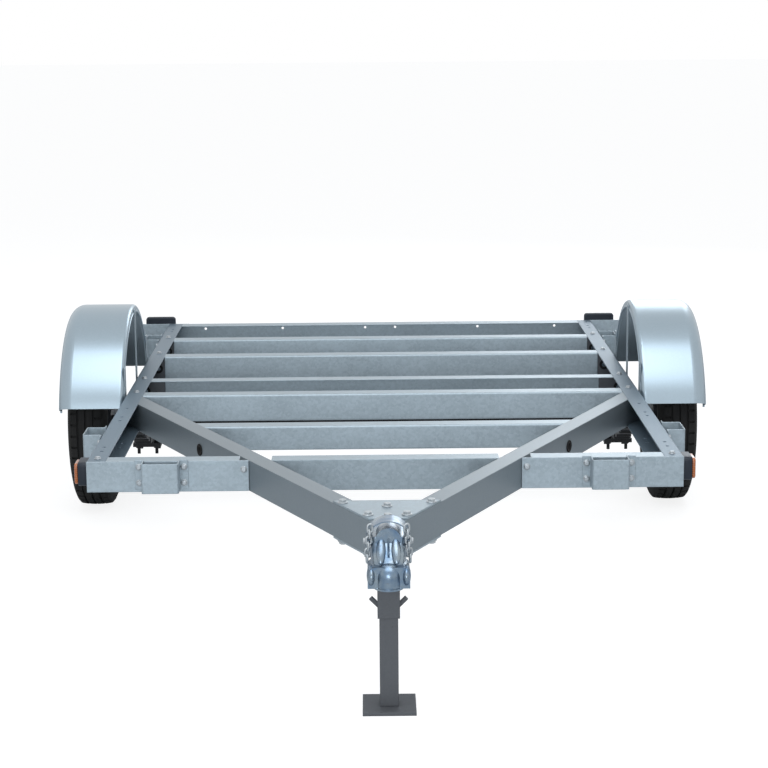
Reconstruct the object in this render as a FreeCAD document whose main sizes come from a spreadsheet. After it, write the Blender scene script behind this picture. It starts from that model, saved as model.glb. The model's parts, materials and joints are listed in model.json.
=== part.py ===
"""Galvanised utility trailer: bolted channel frame, A-frame tongue, sprung axle, two wheels.

Frame of the model: +X to the right, +Y from the coupler towards the tail, +Z up, with the
origin on the ground under the middle of the bounding box. Lengths are millimetres.
"""
import FreeCAD, Part
import math
import os
import re

import Sketcher
from FreeCAD import Placement, Rotation, Vector

doc = FreeCAD.newDocument("utility_trailer")
sheet = doc.addObject("Spreadsheet::Sheet", "Sizes")

SIZES = {
    # bed frame
    "frame_width": 1524, "frame_length": 2134, "deck_rise": 143.5,
    "rail_height": 80, "rail_flange": 50, "steel_wall": 3, "bend_radius": 5, "seat_gap": 0.25,
    # cross members: the first two are measured from the front rail, the last two from the tail
    "first_member_setback": 838, "second_member_setback": 1109, "third_member_lead": 658,
    "fourth_member_lead": 346, "cleat_lap": 40, "cleat_leg": 40,
    # tongue
    "arm_setback": 717, "nose_reach": 609, "nose_half_width": 36, "brace_setback": 415,
    "brace_height": 68, "stub_width": 70, "stub_stop": 6, "stub_length": 306, "gusset_wall": 5,
    "gusset_tail": 178, "gusset_length": 160, "gusset_inset": 1,
    # coupler
    "coupler_length": 203, "coupler_wall": 3, "saddle_lead": 5, "saddle_length": 128,
    "saddle_round": 10, "ball_radius": 25.4, "ball_clearance": 0.8, "ball_drop": 73,
    "skirt_width": 92, "skirt_height": 47, "skirt_length": 78, "skirt_front": 17, "skirt_rise": 3,
    "skirt_round": 15, "lip_width": 3, "lip_height": 4, "crown_width": 56, "crown_rise": 22,
    "crown_length": 56, "crown_lead": 10, "slot_width": 5, "slot_height": 38,
    "lever_width": 98, "lever_rise": 36, "lever_drop": 26, "lever_wall": 2.5, "lever_length": 54,
    "lever_lead": 4, "pivot_radius": 5, "pivot_drop": 15, "pivot_back": 24,
    # parking leg
    "leg_width": 42, "leg_wall": 3, "leg_clearance": 0.6, "socket_wall": 3.4, "leg_lead": 67,
    "socket_drop": 196, "leg_insertion": 84, "foot_width": 120, "foot_wall": 8, "ear_wall": 9,
    "ear_reach": 26, "ear_rise": 26, "ear_bite": 2,
    # axle and springs
    "axle_setback": 1180, "axle_width": 60, "axle_end_gap": 23, "spindle_radius": 13,
    "spindle_clearance": 0.05, "spring_span": 622, "hanger_drop": 24, "leaf_wall": 7,
    "leaf_width": 45, "leaf_count": 5, "leaf_step": 58, "eye_radius": 15, "eye_bore": 8,
    "hanger_wall": 6, "hanger_gap": 1.5, "hanger_length": 64, "clamp_wall": 12, "clamp_length": 120,
    "clamp_width": 87, "clamp_rod": 5, "clamp_tail": 26, "clamp_gap": 0.3,
    # wheels
    "tyre_radius": 266.5, "tyre_width": 118, "tyre_inset": 11, "bead_inset": 8, "bead_depth": 22,
    "shoulder_round": 30, "rim_radius": 152.4, "rim_wall": 3, "rim_edge": 14, "rim_offset": 12,
    "disc_wall": 4, "vent_radius": 13, "vent_circle": 213, "hub_radius": 34, "hub_flange": 68,
    "hub_flange_wall": 9, "hub_length": 92, "cap_wall": 4, "stud_circle": 114.3, "stud_count": 5,
    "stud_radius": 6.35, "stud_length": 22, "stud_root": 2,
    # fenders
    "fender_clearance": 94.5, "fender_width": 196, "fender_gap": 9, "fender_wall": 2,
    "fender_sweep": 146, "fender_shoulder": 42, "fender_skirt": 74, "fender_roll": 12,
    "fender_lip": 22, "strap_width": 26, "strap_rise": 12, "tab_setback": 287, "foot_height": 30,
    # stake pockets
    "pocket_width": 94, "pocket_height": 77, "pocket_lift": 7, "pocket_proud": 50,
    "pocket_flange": 21, "pocket_wall": 2.5, "front_pocket_inset": 192,
    "fore_pocket_setback": 343,
    # lamps
    "marker_length": 72, "marker_height": 62, "marker_depth": 26, "marker_lens": 9,
    "marker_rim": 4, "marker_setback": 62, "lamp_width": 106, "lamp_height": 82, "lamp_depth": 16,
    "lamp_lens": 26, "lens_rim": 4, "lamp_outboard": 30, "lamp_rise": 24, "plate_outboard": 107,
    "plate_inboard": 72, "plate_slope": 40, "plate_rise": 14, "plate_corner": 34,
    # holes
    "deck_hole_radius": 5, "first_hole_setback": 118, "hole_pitch": 48, "second_hole_setback": 494,
    "third_hole_setback": 660, "wire_hole_radius": 12.5, "arm_hole_setback": 297, "grommet_bore": 8,
    "grommet_lip": 3, "rear_hole_radius": 4.5, "rear_hole_drop": 18, "inner_rear_hole": 54,
    "middle_rear_hole": 352, "outer_rear_hole": 630, "plate_hole_radius": 4, "plate_hole_inset": 46,
    "plate_hole_drop": 43,
}

# Places worked out from the driving sizes, as text that bound() turns into sheet expressions.
PLACES = {
    "overall": "tongue_reach + frame_length + steel_wall + lamp_depth + lamp_lens",
    "tongue_reach": "nose_reach + coupler_length",
    "front": "tongue_reach - overall/2",
    "rear": "front + frame_length",
    "nose": "front - nose_reach",
    "frame_top": "tyre_radius + deck_rise",
    "rail_out": "frame_width/2",
    "rail_in": "rail_out - rail_flange",
    "rail_mid": "rail_out - rail_flange/2",
    "rail_low": "frame_top - rail_height",
    "web_in": "rail_out - steel_wall - seat_gap",
    "member_end": "rail_in - seat_gap",
    "inside_height": "rail_height - 2*steel_wall - 2*seat_gap",
    "inside_top": "frame_top - steel_wall - seat_gap",
    "inside_low": "rail_low + steel_wall + seat_gap",
    "cleat_low": "rail_low + bend_radius + seat_gap",
    "cleat_height": "rail_height - 2*bend_radius - 2*seat_gap",
    "wire_place": "(member_end + web_in - steel_wall)/2",
    "arm_slope": "(rail_in - nose_half_width)/(nose_reach + arm_setback)",
    "arm_spread": "sqrt(1 + arm_slope^2)",
    "stub_half": "stub_width/2",
    "saddle_back": "nose - saddle_lead",
    "neck": "saddle_back - saddle_length",
    "stub_tip": "neck + stub_stop",
    "saddle_low": "rail_low - coupler_wall",
    "saddle_top": "frame_top + coupler_wall + seat_gap",
    "saddle_half": "stub_half + coupler_wall + seat_gap",
    "socket_inner": "ball_radius + ball_clearance",
    "socket_outer": "socket_inner + coupler_wall",
    "ball_height": "frame_top - ball_drop",
    "ball_place": "front - tongue_reach + socket_outer",
    "jaw_low": "ball_height - socket_inner",
    "crown_half": "crown_width/2",
    "leg_place": "nose - leg_lead",
    "socket_low": "frame_top - socket_drop",
    "bore_width": "leg_width + 2*leg_clearance",
    "socket_width": "bore_width + 2*socket_wall",
    "fender_in": "rail_out + fender_gap",
    "fender_out": "fender_in + fender_width",
    "fender_radius": "tyre_radius + fender_clearance",
    "wheel_place": "fender_out - tyre_inset - tyre_width/2",
    "rim_half": "tyre_width/2 - bead_inset",
    "axle_place": "front + axle_setback",
    "axle_half": "wheel_place - hub_length/2 - axle_end_gap",
    "beam_low": "tyre_radius - axle_width/2",
    "eye_height": "rail_low - hanger_drop",
    "spring_rise": "eye_height - eye_radius + leaf_wall - beam_low + seat_gap",
    "leaf_radius": "((spring_span/2)^2/spring_rise + spring_rise)/2",
    "leaf_centre": "beam_low - seat_gap + leaf_radius",
    "clamp_top": "beam_low - leaf_count*leaf_wall - 2*seat_gap",
    "pocket_low": "rail_low + pocket_lift",
    "aft_pocket": "(axle_place + fender_radius*sin(fender_sweep/2) + rear)/2",
    "lamp_back": "rear + steel_wall",
}

# Cross members: the place of the web's outer face, and the side that the flanges run to.
MEMBERS = (("front + first_member_setback", 1), ("front + second_member_setback", -1),
           ("rear - third_member_lead", 1), ("rear - fourth_member_lead", 1))

ALONG_X = Rotation(Vector(1, 1, 1), 120)    # local x, y, z lie along Y, Z, X
ALONG_Y = Rotation(Vector(1, 0, 0), 90)     # local x, y, z lie along X, Z, -Y
HALF_SPRING = Rotation(Vector(0, 1, 0), 90)  # local x, y, z lie along -Z, Y, X
LEVEL = Rotation()

nodes = {}


def fill_sheet():
    """Write each driving size as plain text in a cell of its own, with its alias."""
    for row, (alias, size) in enumerate(SIZES.items(), start=1):
        sheet.set(f"A{row}", alias)
        sheet.set(f"B{row}", str(size))
        sheet.setAlias(f"B{row}", alias)
    doc.recompute()


def bound(text):
    """Turn a formula in size and place names into an expression over the sheet's cells."""
    def swap(match):
        word = match.group(0)
        if word in PLACES:
            return f"({bound(PLACES[word])})"
        return f"Sizes.{word}" if word in SIZES else word
    return re.sub(r"(?<![\w.])[a-z_]+\b", swap, str(text))


def number(text):
    """Value of a formula at the sheet's present sizes."""
    found = sheet.evalExpression(bound(text))
    return float(getattr(found, "Value", found))


def bind(item, **formulas):
    """Bind properties of an object to formulas."""
    for name, text in formulas.items():
        item.setExpression(name, bound(text))
    return item


def place(item, x=0, y=0, z=0, turn=LEVEL):
    """Turn an object and bind the three coordinates of its place."""
    item.Placement = Placement(Vector(), turn)
    for axis, text in zip("xyz", (x, y, z)):
        item.setExpression(f"Placement.Base.{axis}", bound(text))
    return item


def box(x, y, z, length, width, height, turn=LEVEL):
    """Box with its low corner at x, y, z."""
    item = bind(doc.addObject("Part::Box", "box"), Length=length, Width=width, Height=height)
    return place(item, x, y, z, turn)


def rod(x, y, z, radius, height, turn=LEVEL):
    """Round bar from x, y, z along the turned local z."""
    item = bind(doc.addObject("Part::Cylinder", "rod"), Radius=radius, Height=height)
    return place(item, x, y, z, turn)


def fuse(*items):
    """Union of objects."""
    item = doc.addObject("Part::MultiFuse", "union")
    item.Shapes = list(items)
    item.Refine = True
    return item


def cut(base, *tools):
    """Base with every tool taken away."""
    item = doc.addObject("Part::Cut", "cut")
    item.Base = base
    item.Tool = tools[0] if len(tools) == 1 else fuse(*tools)
    item.Refine = True
    return item


def group(*items):
    """Separate solids that share one node."""
    item = doc.addObject("Part::Compound", "group")
    item.Links = list(items)
    return item


def mirror(source):
    """Copy of an object on the other side of the trailer's middle plane."""
    item = doc.addObject("Part::Mirroring", "mirrored")
    item.Source = source
    item.Base = Vector(0, 0, 0)
    item.Normal = Vector(1, 0, 0)
    return item


def keep(label, item):
    """Name an object as one node of the trailer."""
    item.Label = label
    nodes[label] = item
    return item


def keep_pair(label, left):
    """Keep a left-hand piece and its mirrored right-hand twin."""
    keep(f"{label}_left", left)
    keep(f"{label}_right", mirror(left))


def round_corner(before, corner, after, radius):
    """Points where an arc leaves and joins the two level or upright edges at a corner."""
    ends = []
    for neighbour in (before, after):
        steps = [number(f"({n}) - ({c})") for n, c in zip(neighbour[:2], corner[:2])]
        across = abs(steps[0]) > abs(steps[1])
        sign = "+" if steps[0 if across else 1] > 0 else "-"
        shifted = [f"({corner[0]})", f"({corner[1]})"]
        shifted[0 if across else 1] += f" {sign} ({radius})"
        ends.append(tuple(shifted))
    return ends


def outline(sketch, corners):
    """Draw a closed loop; a corner's third value is its radius, and every end is bound."""
    path = []
    for index, corner in enumerate(corners):
        if len(corner) == 2:
            path.append((corner, None))
            continue
        after = corners[(index + 1) % len(corners)]
        begin, end = round_corner(corners[index - 1], corner, after, corner[2])
        path += [(begin, corner), (end, None)]
    spots = [Vector(number(x), number(y), 0) for (x, y), _ in path]
    for index, (spot, (_, corner)) in enumerate(zip(spots, path)):
        target = spots[(index + 1) % len(spots)]
        if corner is None:
            sketch.addGeometry(Part.LineSegment(spot, target))
        else:
            sketch.addGeometry(corner_arc(spot, target, corner))
    ends = [(1, 2) if is_forward(sketch.Geometry[i], spots[i]) else (2, 1) for i in range(len(spots))]
    for index, (point, corner) in enumerate(path):
        following = (index + 1) % len(path)
        joined = Sketcher.Constraint("Coincident", index, ends[index][1], following, ends[following][0])
        sketch.addConstraint(joined)
        for kind, text in zip(("DistanceX", "DistanceY"), point):
            held = Sketcher.Constraint(kind, -1, 1, index, ends[index][0], number(text))
            place_of = sketch.addConstraint(held)
            sketch.setExpression(f"Constraints[{place_of}]", bound(text))
        if corner is not None:
            held = Sketcher.Constraint("Radius", index, number(corner[2]))
            place_of = sketch.addConstraint(held)
            sketch.setExpression(f"Constraints[{place_of}]", bound(corner[2]))
    return sketch


def corner_arc(begin, end, corner):
    """Quarter arc that rounds a corner between two points on its edges."""
    tip = Vector(number(corner[0]), number(corner[1]), 0)
    centre = begin + end - tip
    radius = (begin - centre).Length
    angles = [math.atan2(spot.y - centre.y, spot.x - centre.x) for spot in (begin, end)]
    if (begin - centre).cross(end - centre).z < 0:
        angles.reverse()
    return Part.ArcOfCircle(Part.Circle(centre, Vector(0, 0, 1), radius), *angles)


def is_forward(edge, spot):
    """Whether an edge starts at a spot rather than ending there."""
    return (edge.StartPoint - spot).Length < (edge.EndPoint - spot).Length


def body_sketch(body, corners, lift=None):
    """Sketch on a body's own XY plane, raised by a formula where one is given."""
    sketch = body.newObject("Sketcher::SketchObject", "outline")
    plane = next(f for f in body.Origin.OriginFeatures if f.Role == "XY_Plane")
    sketch.AttachmentSupport = (plane, [""])
    sketch.MapMode = "FlatFace"
    if lift is not None:
        sketch.setExpression("AttachmentOffset.Base.z", bound(lift))
    return outline(sketch, corners)


def pad(body, corners, length, lift=None):
    """Add a straight prism of a section to a body."""
    feature = body.newObject("PartDesign::Pad", "pad")
    feature.Profile = body_sketch(body, corners, lift)
    return bind(feature, Length=length)


def bar(corners, length, x=0, y=0, z=0, turn=LEVEL):
    """Straight bar of a section, as a body of one padded sketch."""
    body = doc.addObject("PartDesign::Body", "bar")
    pad(body, corners, length)
    return place(body, x, y, z, turn)


def turned(corners, x=0, y=0, z=0):
    """Round piece on an axis along X, from an outline of distance along it and radius."""
    body = doc.addObject("PartDesign::Body", "turned")
    feature = body.newObject("PartDesign::Revolution", "revolution")
    feature.Profile = body_sketch(body, corners)
    feature.ReferenceAxis = (feature.Profile[0], ["H_Axis"])
    feature.Angle = 360
    return place(body, x, y, z)


def arch_section(half, low, top, radius):
    """Upright outline that is square at its foot and rounded at its two upper corners."""
    return [(f"-({half})", low), (half, low), (half, top, radius), (f"-({half})", top, radius)]


def loft(sections):
    """Body that passes through outlines, each lifted along the body's own z."""
    body = doc.addObject("PartDesign::Body", "loft")
    sketches = [body_sketch(body, corners, lift) for corners, lift in sections]
    feature = body.newObject("PartDesign::AdditiveLoft", "loft")
    feature.Profile = sketches[0]
    feature.Sections = sketches[1:]
    feature.Ruled = True
    return body


def channel_section(height, flange, wall="steel_wall", radius="bend_radius"):
    """C section: web on local y from 0 to height at local x = 0, flanges towards +x."""
    inner = f"({radius}) - ({wall})"
    top = f"({height}) - ({wall})"
    return [(0, 0, radius), (flange, 0), (flange, wall), (wall, wall, inner),
            (wall, top, inner), (flange, top), (flange, height), (0, height, radius)]


def tube_section(width, height, wall, radius):
    """Outer loop and bore loop of a rectangular tube about the local origin in x, from y = 0."""
    half = f"({width})/2"
    outer = [(f"-{half}", 0, radius), (half, 0, radius), (half, height, radius),
             (f"-{half}", height, radius)]
    inside = f"({half} - ({wall}))"
    top = f"({height}) - ({wall})"
    bore = [(f"-{inside}", wall), (inside, wall), (inside, top), (f"-{inside}", top)]
    return outer, bore


# ---------------------------------------------------------------- bed frame

def upright_hole(x, y, low, height, radius="deck_hole_radius"):
    """Drill through level steel."""
    return rod(x, y, low, radius, height)


def side_rails():
    """Long channels with the web outside, drilled in pairs of holes for the deck."""
    rail = bar(channel_section("rail_height", "rail_flange"), "frame_length - 2*steel_wall - 2*seat_gap",
               "-rail_out", "rear - steel_wall - seat_gap", "rail_low", ALONG_Y)
    top, depth = "frame_top - 2*steel_wall", "3*steel_wall"
    through = "rail_height + 2*steel_wall"
    holes = []
    for pitch in ("0", "hole_pitch"):
        holes.append(upright_hole("-rail_mid", f"front + first_hole_setback + {pitch}", top, depth))
        holes.append(upright_hole("-rail_mid", f"rear - first_hole_setback - {pitch}", top, depth))
        holes.append(upright_hole("-rail_mid", f"front + second_hole_setback + {pitch}",
                                  "rail_low - steel_wall", through))
    holes.append(upright_hole("-rail_mid", "front + third_hole_setback", top, depth))
    keep_pair("side_rail", cut(rail, *holes))


def web_and_flanges(web_ends, flange_ends, y, turn_back=False):
    """Upright web across the trailer, and flanges that may stop short of the web's ends."""
    wall_y = f"{y} - steel_wall" if turn_back else y
    flange_y = f"{y} - rail_flange" if turn_back else y
    web_length = f"({web_ends[1]}) - ({web_ends[0]})"
    flange_length = f"({flange_ends[1]}) - ({flange_ends[0]})"
    web = box(web_ends[0], wall_y, "rail_low", web_length, "steel_wall", "rail_height")
    lower = box(flange_ends[0], flange_y, "rail_low", flange_length, "rail_flange", "steel_wall")
    upper = box(flange_ends[0], flange_y, "frame_top - steel_wall", flange_length, "rail_flange",
                "steel_wall")
    return fuse(web, lower, upper)


def arm_x(y, inset=0):
    """Distance off centre, at y, of a line parallel to the arm's outer face and inset from it."""
    return f"(nose_half_width + (({y}) - nose)*arm_slope - ({inset})*arm_spread)"


def arm_y(x, inset=0):
    """Place along the trailer where that line is x off centre."""
    return f"(nose + (({x}) - nose_half_width + ({inset})*arm_spread)/arm_slope)"


def front_rails():
    """Front rail in three lengths, with the arms of the tongue passing between them."""
    web_end = f"-({arm_x('front + steel_wall')} + seat_gap)"
    flange_end = f"-({arm_x('front + rail_flange')} + seat_gap)"
    keep_pair("front_rail", web_and_flanges(("-rail_out", web_end), ("-member_end", flange_end), "front"))
    inner_end = f"({arm_x('front', 'rail_flange')} - seat_gap)"
    ends = (f"-{inner_end}", inner_end)
    keep("front_rail_centre", web_and_flanges(ends, ends, "front"))


def rear_rail():
    """Rear rail with its web at the tail and a row of small holes near the top edge."""
    rail = web_and_flanges(("-rail_out", "rail_out"), ("-member_end", "member_end"), "rear", True)
    holes = []
    for place_off_centre in ("inner_rear_hole", "middle_rear_hole", "outer_rear_hole"):
        for side in ("-1", "1"):
            holes.append(rod(f"{side}*{place_off_centre}", "rear + steel_wall",
                             "frame_top - rear_hole_drop", "rear_hole_radius", "4*steel_wall", ALONG_Y))
    keep("rear_rail", cut(rail, *holes))


def cross_members():
    """Four channels between the side rails; the second is open to the front."""
    for index, (web, reach) in enumerate(MEMBERS, start=1):
        section = channel_section("rail_height", "rail_flange")
        if reach < 0:
            section = [(f"-({corner[0]})", *corner[1:]) for corner in section]
        keep(f"cross_member_{index}", bar(section, "2*member_end", "-member_end", web, "rail_low", ALONG_X))


def member_cleats():
    """Angles inside the side rail that carry the members' ends, each holed for the wiring."""
    cleats = []
    grommets = []
    for web, reach in MEMBERS:
        near = f"{web} + steel_wall + seat_gap" if reach > 0 else f"{web} - 2*steel_wall - seat_gap"
        leg_y = near if reach > 0 else f"{near} + steel_wall - cleat_leg"
        across = box("-web_in", near, "cleat_low", "web_in - rail_in + cleat_lap", "steel_wall",
                     "cleat_height")
        along = box("-web_in", leg_y, "cleat_low", "steel_wall", "cleat_leg", "cleat_height")
        hole = rod("-wire_place", f"{near} + 2*steel_wall", "cleat_low + cleat_height/2",
                   "wire_hole_radius", "4*steel_wall", ALONG_Y)
        cleats.append(cut(fuse(across, along), hole))
        grommets.append(grommet(near))
    keep_pair("member_cleats", group(*cleats))
    left = group(*grommets)
    keep("wiring_grommets", group(left, mirror(left)))


def grommet(near):
    """Rubber ring through a cleat, with a lip on its front."""
    middle = "cleat_low + cleat_height/2"
    lip = rod("-wire_place", near, middle, "wire_hole_radius + grommet_lip", "grommet_lip", ALONG_Y)
    ring = rod("-wire_place", f"{near} + steel_wall + grommet_lip", middle,
               "wire_hole_radius - seat_gap", "steel_wall + grommet_lip", ALONG_Y)
    bore = rod("-wire_place", f"{near} + steel_wall + 2*grommet_lip", middle, "grommet_bore",
               "steel_wall + 4*grommet_lip", ALONG_Y)
    return cut(fuse(lip, ring), bore)


# ---------------------------------------------------------------- tongue

def arm_strip(near, far, inset, depth):
    """Plan outline of a strip of the left arm, between two distances off centre."""
    outer, inner = inset, f"({inset}) + ({depth})"
    return [(f"-({near})", arm_y(near, outer)), (f"-({near})", arm_y(near, inner)),
            (f"-({far})", arm_y(far, inner)), (f"-({far})", arm_y(far, outer))]


def tongue_arms():
    """Channels from the side rails to the nose, with the web outside and a tab into the rail."""
    near = "stub_half + seat_gap"
    tab = "rail_out - bend_radius - seat_gap"
    body = doc.addObject("PartDesign::Body", "arm")
    pad(body, arm_strip(near, "member_end", 0, "rail_flange"), "steel_wall", "rail_low")
    pad(body, arm_strip(near, "member_end", 0, "steel_wall"), "rail_height", "rail_low")
    pad(body, arm_strip(near, "member_end", 0, "rail_flange"), "steel_wall", "frame_top - steel_wall")
    pad(body, arm_strip("member_end - steel_wall", tab, 0, "steel_wall"), "inside_height", "inside_low")
    hole_y = "front + arm_hole_setback"
    lean = math.degrees(math.atan(number("arm_slope")))
    across_web = Rotation(Vector(0, 0, 1), 90 + lean) * ALONG_Y
    hole = rod(f"-{arm_x(hole_y)} - 4*steel_wall*arm_slope", f"{hole_y}", "frame_top - rail_height/2",
               "wire_hole_radius", "12*steel_wall", across_web)
    keep_pair("tongue_arm", cut(body, hole))


def tongue_brace():
    """Short channel between the two arms, ahead of the axle."""
    half = f"({arm_x('front + brace_setback', 'steel_wall')} - seat_gap)"
    keep("tongue_brace", bar(channel_section("brace_height", "rail_flange"), f"2*{half}", f"-{half}",
                             "front + brace_setback", "inside_top - brace_height", ALONG_X))


def tongue_stub():
    """Square tube between the noses of the arms, which carries the coupler and the leg."""
    outer, bore = tube_section("stub_width", "rail_height", "steel_wall", "bend_radius")
    start = "stub_tip + stub_length"
    shell = bar(outer, "stub_length", 0, start, "rail_low", ALONG_Y)
    inside = bar(bore, "stub_length + 2*steel_wall", 0, f"{start} + steel_wall", "rail_low", ALONG_Y)
    room = "(socket_width + 2*seat_gap)"
    slot = box(f"-{room}/2", f"leg_place - {room}/2", "rail_low - steel_wall", room, room, "3*steel_wall")
    keep("tongue_stub", cut(shell, inside, slot))


def gusset_plates():
    """Plates bolted over and under the nose, as wide as the arms there."""
    back = "nose + gusset_tail"
    tip = f"{back} - gusset_length"
    half_back, half_tip = (f"({arm_x(y)} - gusset_inset)" for y in (back, tip))
    plan = [(f"-{half_back}", back), (half_back, back), (half_tip, tip), (f"-{half_tip}", tip)]
    keep("tongue_plate_top", bar(plan, "gusset_wall", 0, 0, "frame_top"))
    keep("tongue_plate_bottom", bar(plan, "gusset_wall", 0, 0, "rail_low - gusset_wall"))


# ---------------------------------------------------------------- coupler

def ball(radius, y, z):
    """Sphere on the trailer's middle plane."""
    return place(bind(doc.addObject("Part::Sphere", "ball"), Radius=radius), 0, y, z)


def coupler_body():
    """Stamped coupler: saddle over the stub, crown with a slot, skirt, and a dome over the ball."""
    saddle_section = arch_section("saddle_half", "saddle_low", "saddle_top", "saddle_round")
    dome_section = arch_section("socket_outer", "jaw_low", "ball_height + socket_outer",
                                "socket_outer - seat_gap")
    saddle = bar(saddle_section, "saddle_length", 0, "saddle_back", 0, ALONG_Y)
    throat = place(loft([(saddle_section, "0"), (dome_section, "neck - ball_place")]), 0, "neck", 0, ALONG_Y)
    crown = bar(arch_section("crown_half", "saddle_top - saddle_round", "saddle_top + crown_rise",
                             "crown_half - seat_gap"),
                "crown_length", 0, "neck - crown_lead + crown_length", 0, ALONG_Y)
    front, low = "ball_place - skirt_front", "jaw_low + skirt_rise"
    skirt = bar(arch_section("skirt_width/2", low, f"{low} + skirt_height", "skirt_round"),
                "skirt_length", 0, f"{front} + skirt_length", 0, ALONG_Y)
    hollow = bar(arch_section("skirt_width/2 - coupler_wall", f"{low} - coupler_wall",
                              f"{low} + skirt_height - coupler_wall", "skirt_round - coupler_wall"),
                 "skirt_length - 2*coupler_wall", 0, f"{front} + skirt_length - coupler_wall", 0, ALONG_Y)
    collar = rod(0, "ball_place", "jaw_low", "socket_outer", "socket_inner")
    lip = rod(0, "ball_place", "jaw_low", "socket_outer + lip_width", "lip_height")
    dome = ball("socket_outer", "ball_place", "ball_height")
    solid = fuse(saddle, throat, crown, cut(skirt, hollow), collar, lip, dome)
    mouth = rod(0, "ball_place", "jaw_low - coupler_wall", "socket_inner", "socket_inner + coupler_wall")
    tunnel = box("-stub_half - seat_gap", "stub_tip - seat_gap", "saddle_low - coupler_wall",
                 "stub_width + 2*seat_gap", "saddle_back - stub_tip + coupler_wall",
                 "frame_top + seat_gap - saddle_low + coupler_wall")
    slot = box("-slot_width/2", "ball_place", "saddle_top - slot_height", "slot_width",
               "neck - ball_place + stub_stop/2", "slot_height")
    keep("coupler_body", cut(solid, ball("socket_inner", "ball_place", "ball_height"), mouth, tunnel, slot))


def coupler_lever():
    """Arched latch handle over the saddle, hinged on a pin at each side."""
    half, low, top = "lever_width/2", "saddle_top - lever_drop", "saddle_top + lever_rise"
    start = "neck - lever_lead + lever_length"
    arch = bar(arch_section(half, low, top, f"{half} - lever_wall"), "lever_length", 0, start, 0, ALONG_Y)
    room = bar(arch_section(f"{half} - lever_wall", f"{low} - lever_wall", f"{top} - lever_wall",
                            f"{half} - 2*lever_wall"),
               "lever_length + 2*lever_wall", 0, f"{start} + lever_wall", 0, ALONG_Y)
    pins = []
    pin_length = f"{half} - saddle_half - seat_gap"
    for start_x in (f"-({half})", "saddle_half + seat_gap"):
        pins.append(rod(start_x, "neck + pivot_back", "saddle_top - pivot_drop", "pivot_radius",
                        pin_length, ALONG_X))
    keep("coupler_lever", fuse(cut(arch, room), *pins))


# ---------------------------------------------------------------- parking leg

def leg_socket():
    """Square tube fixed in the stub, with two ears on its sides, that the leg slides in."""
    height = "(inside_top - socket_low)"
    tube = box("-socket_width/2", "leg_place - socket_width/2", "socket_low", "socket_width",
               "socket_width", height)
    bore = box("-bore_width/2", "leg_place - bore_width/2", "socket_low - leg_wall", "bore_width",
               "bore_width", f"{height} + 2*leg_wall")
    ear = box("socket_width/2 - ear_bite - ear_wall/2", "leg_place - ear_wall/2", "socket_low + ear_rise",
              "ear_wall", "ear_wall", "ear_reach", Rotation(Vector(0, 1, 0), 45))
    keep("leg_socket", cut(fuse(tube, ear, mirror(ear)), bore))


def parking_leg():
    """Square leg that slides up and down in the socket, with a pad welded to its foot."""
    bottom = "(foot_wall + seat_gap)"
    height = f"socket_low + leg_insertion - {bottom}"
    inside = "(leg_width - 2*leg_wall)"
    outer = box("-leg_width/2", "leg_place - leg_width/2", bottom, "leg_width", "leg_width", height)
    bore = box(f"-{inside}/2", f"leg_place - {inside}/2", f"{bottom} + leg_wall", inside, inside, height)
    keep("parking_leg", cut(outer, bore))
    foot = box("-foot_width/2", "leg_place - foot_width/2", "0", "foot_width", "foot_width", "foot_wall")
    keep("leg_foot", foot)


# ---------------------------------------------------------------- axle and springs

def axle_beam():
    """Square beam with a spindle at each end."""
    beam = box("-axle_half", "axle_place - axle_width/2", "beam_low", "2*axle_half", "axle_width",
               "axle_width")
    reach = "(wheel_place + hub_length/2)"
    spindles = rod(f"-{reach}", "axle_place", "tyre_radius", "spindle_radius", f"2*{reach}", ALONG_X)
    keep("axle_beam", fuse(beam, spindles))


def leaf_springs():
    """Five leaves with a flat seat under the axle, the longest on top with an eye at each end."""
    start = "-rail_mid - leaf_width/2"
    leaves = []
    for index in range(SIZES["leaf_count"]):
        leaf = doc.addObject("Part::Cylinder", "leaf")
        bind(leaf, Radius=f"leaf_radius + {index + 1}*leaf_wall", Height="leaf_width",
             Angle=f"asin((spring_span/2 - {index}*leaf_step)/leaf_radius)")
        leaves.append(place(leaf, start, "axle_place", "leaf_centre", HALF_SPRING))
    hollow = rod(f"{start} - leaf_width", "axle_place", "leaf_centre", "leaf_radius", "3*leaf_width",
                 ALONG_X)
    seat = box(f"{start} - leaf_width", "axle_place - axle_width/2 - seat_gap", "beam_low - seat_gap",
               "3*leaf_width", "axle_width + 2*seat_gap", "axle_width")
    half = cut(fuse(*leaves), hollow, seat)
    other = doc.addObject("Part::Mirroring", "other_half")
    other.Source = half
    other.Normal = Vector(0, 1, 0)
    other.setExpression("Base.y", bound("axle_place"))
    eyes = []
    bores = []
    for side in ("-1", "1"):
        along = f"axle_place + {side}*spring_span/2"
        eyes.append(rod(start, along, "eye_height", "eye_radius", "leaf_width", ALONG_X))
        bores.append(rod(f"{start} - leaf_width", along, "eye_height", "eye_bore", "3*leaf_width", ALONG_X))
    keep_pair("leaf_spring", cut(fuse(half, other, *eyes), *bores))


def spring_hangers():
    """Forks under the side rail that hold the spring's eyes on bolts."""
    hangers = []
    inner = "(leaf_width/2 + hanger_gap)"
    outer = f"({inner} + hanger_wall)"
    low = "(eye_height - eye_radius - hanger_wall)"
    for side in ("-1", "1"):
        along = f"axle_place + {side}*spring_span/2"
        block = box(f"-rail_mid - {outer}", f"{along} - hanger_length/2", low, f"2*{outer}",
                    "hanger_length", f"rail_low - {low}")
        slot = box(f"-rail_mid - {inner}", f"{along} - hanger_length", f"{low} - hanger_wall",
                   f"2*{inner}", "2*hanger_length", f"rail_low - {low}")
        bolt = rod(f"-rail_mid - {outer}", along, "eye_height", "eye_bore - seat_gap", f"2*{outer}", ALONG_X)
        hangers.append(fuse(cut(block, slot), bolt))
    keep_pair("spring_hanger", group(*hangers))


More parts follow.
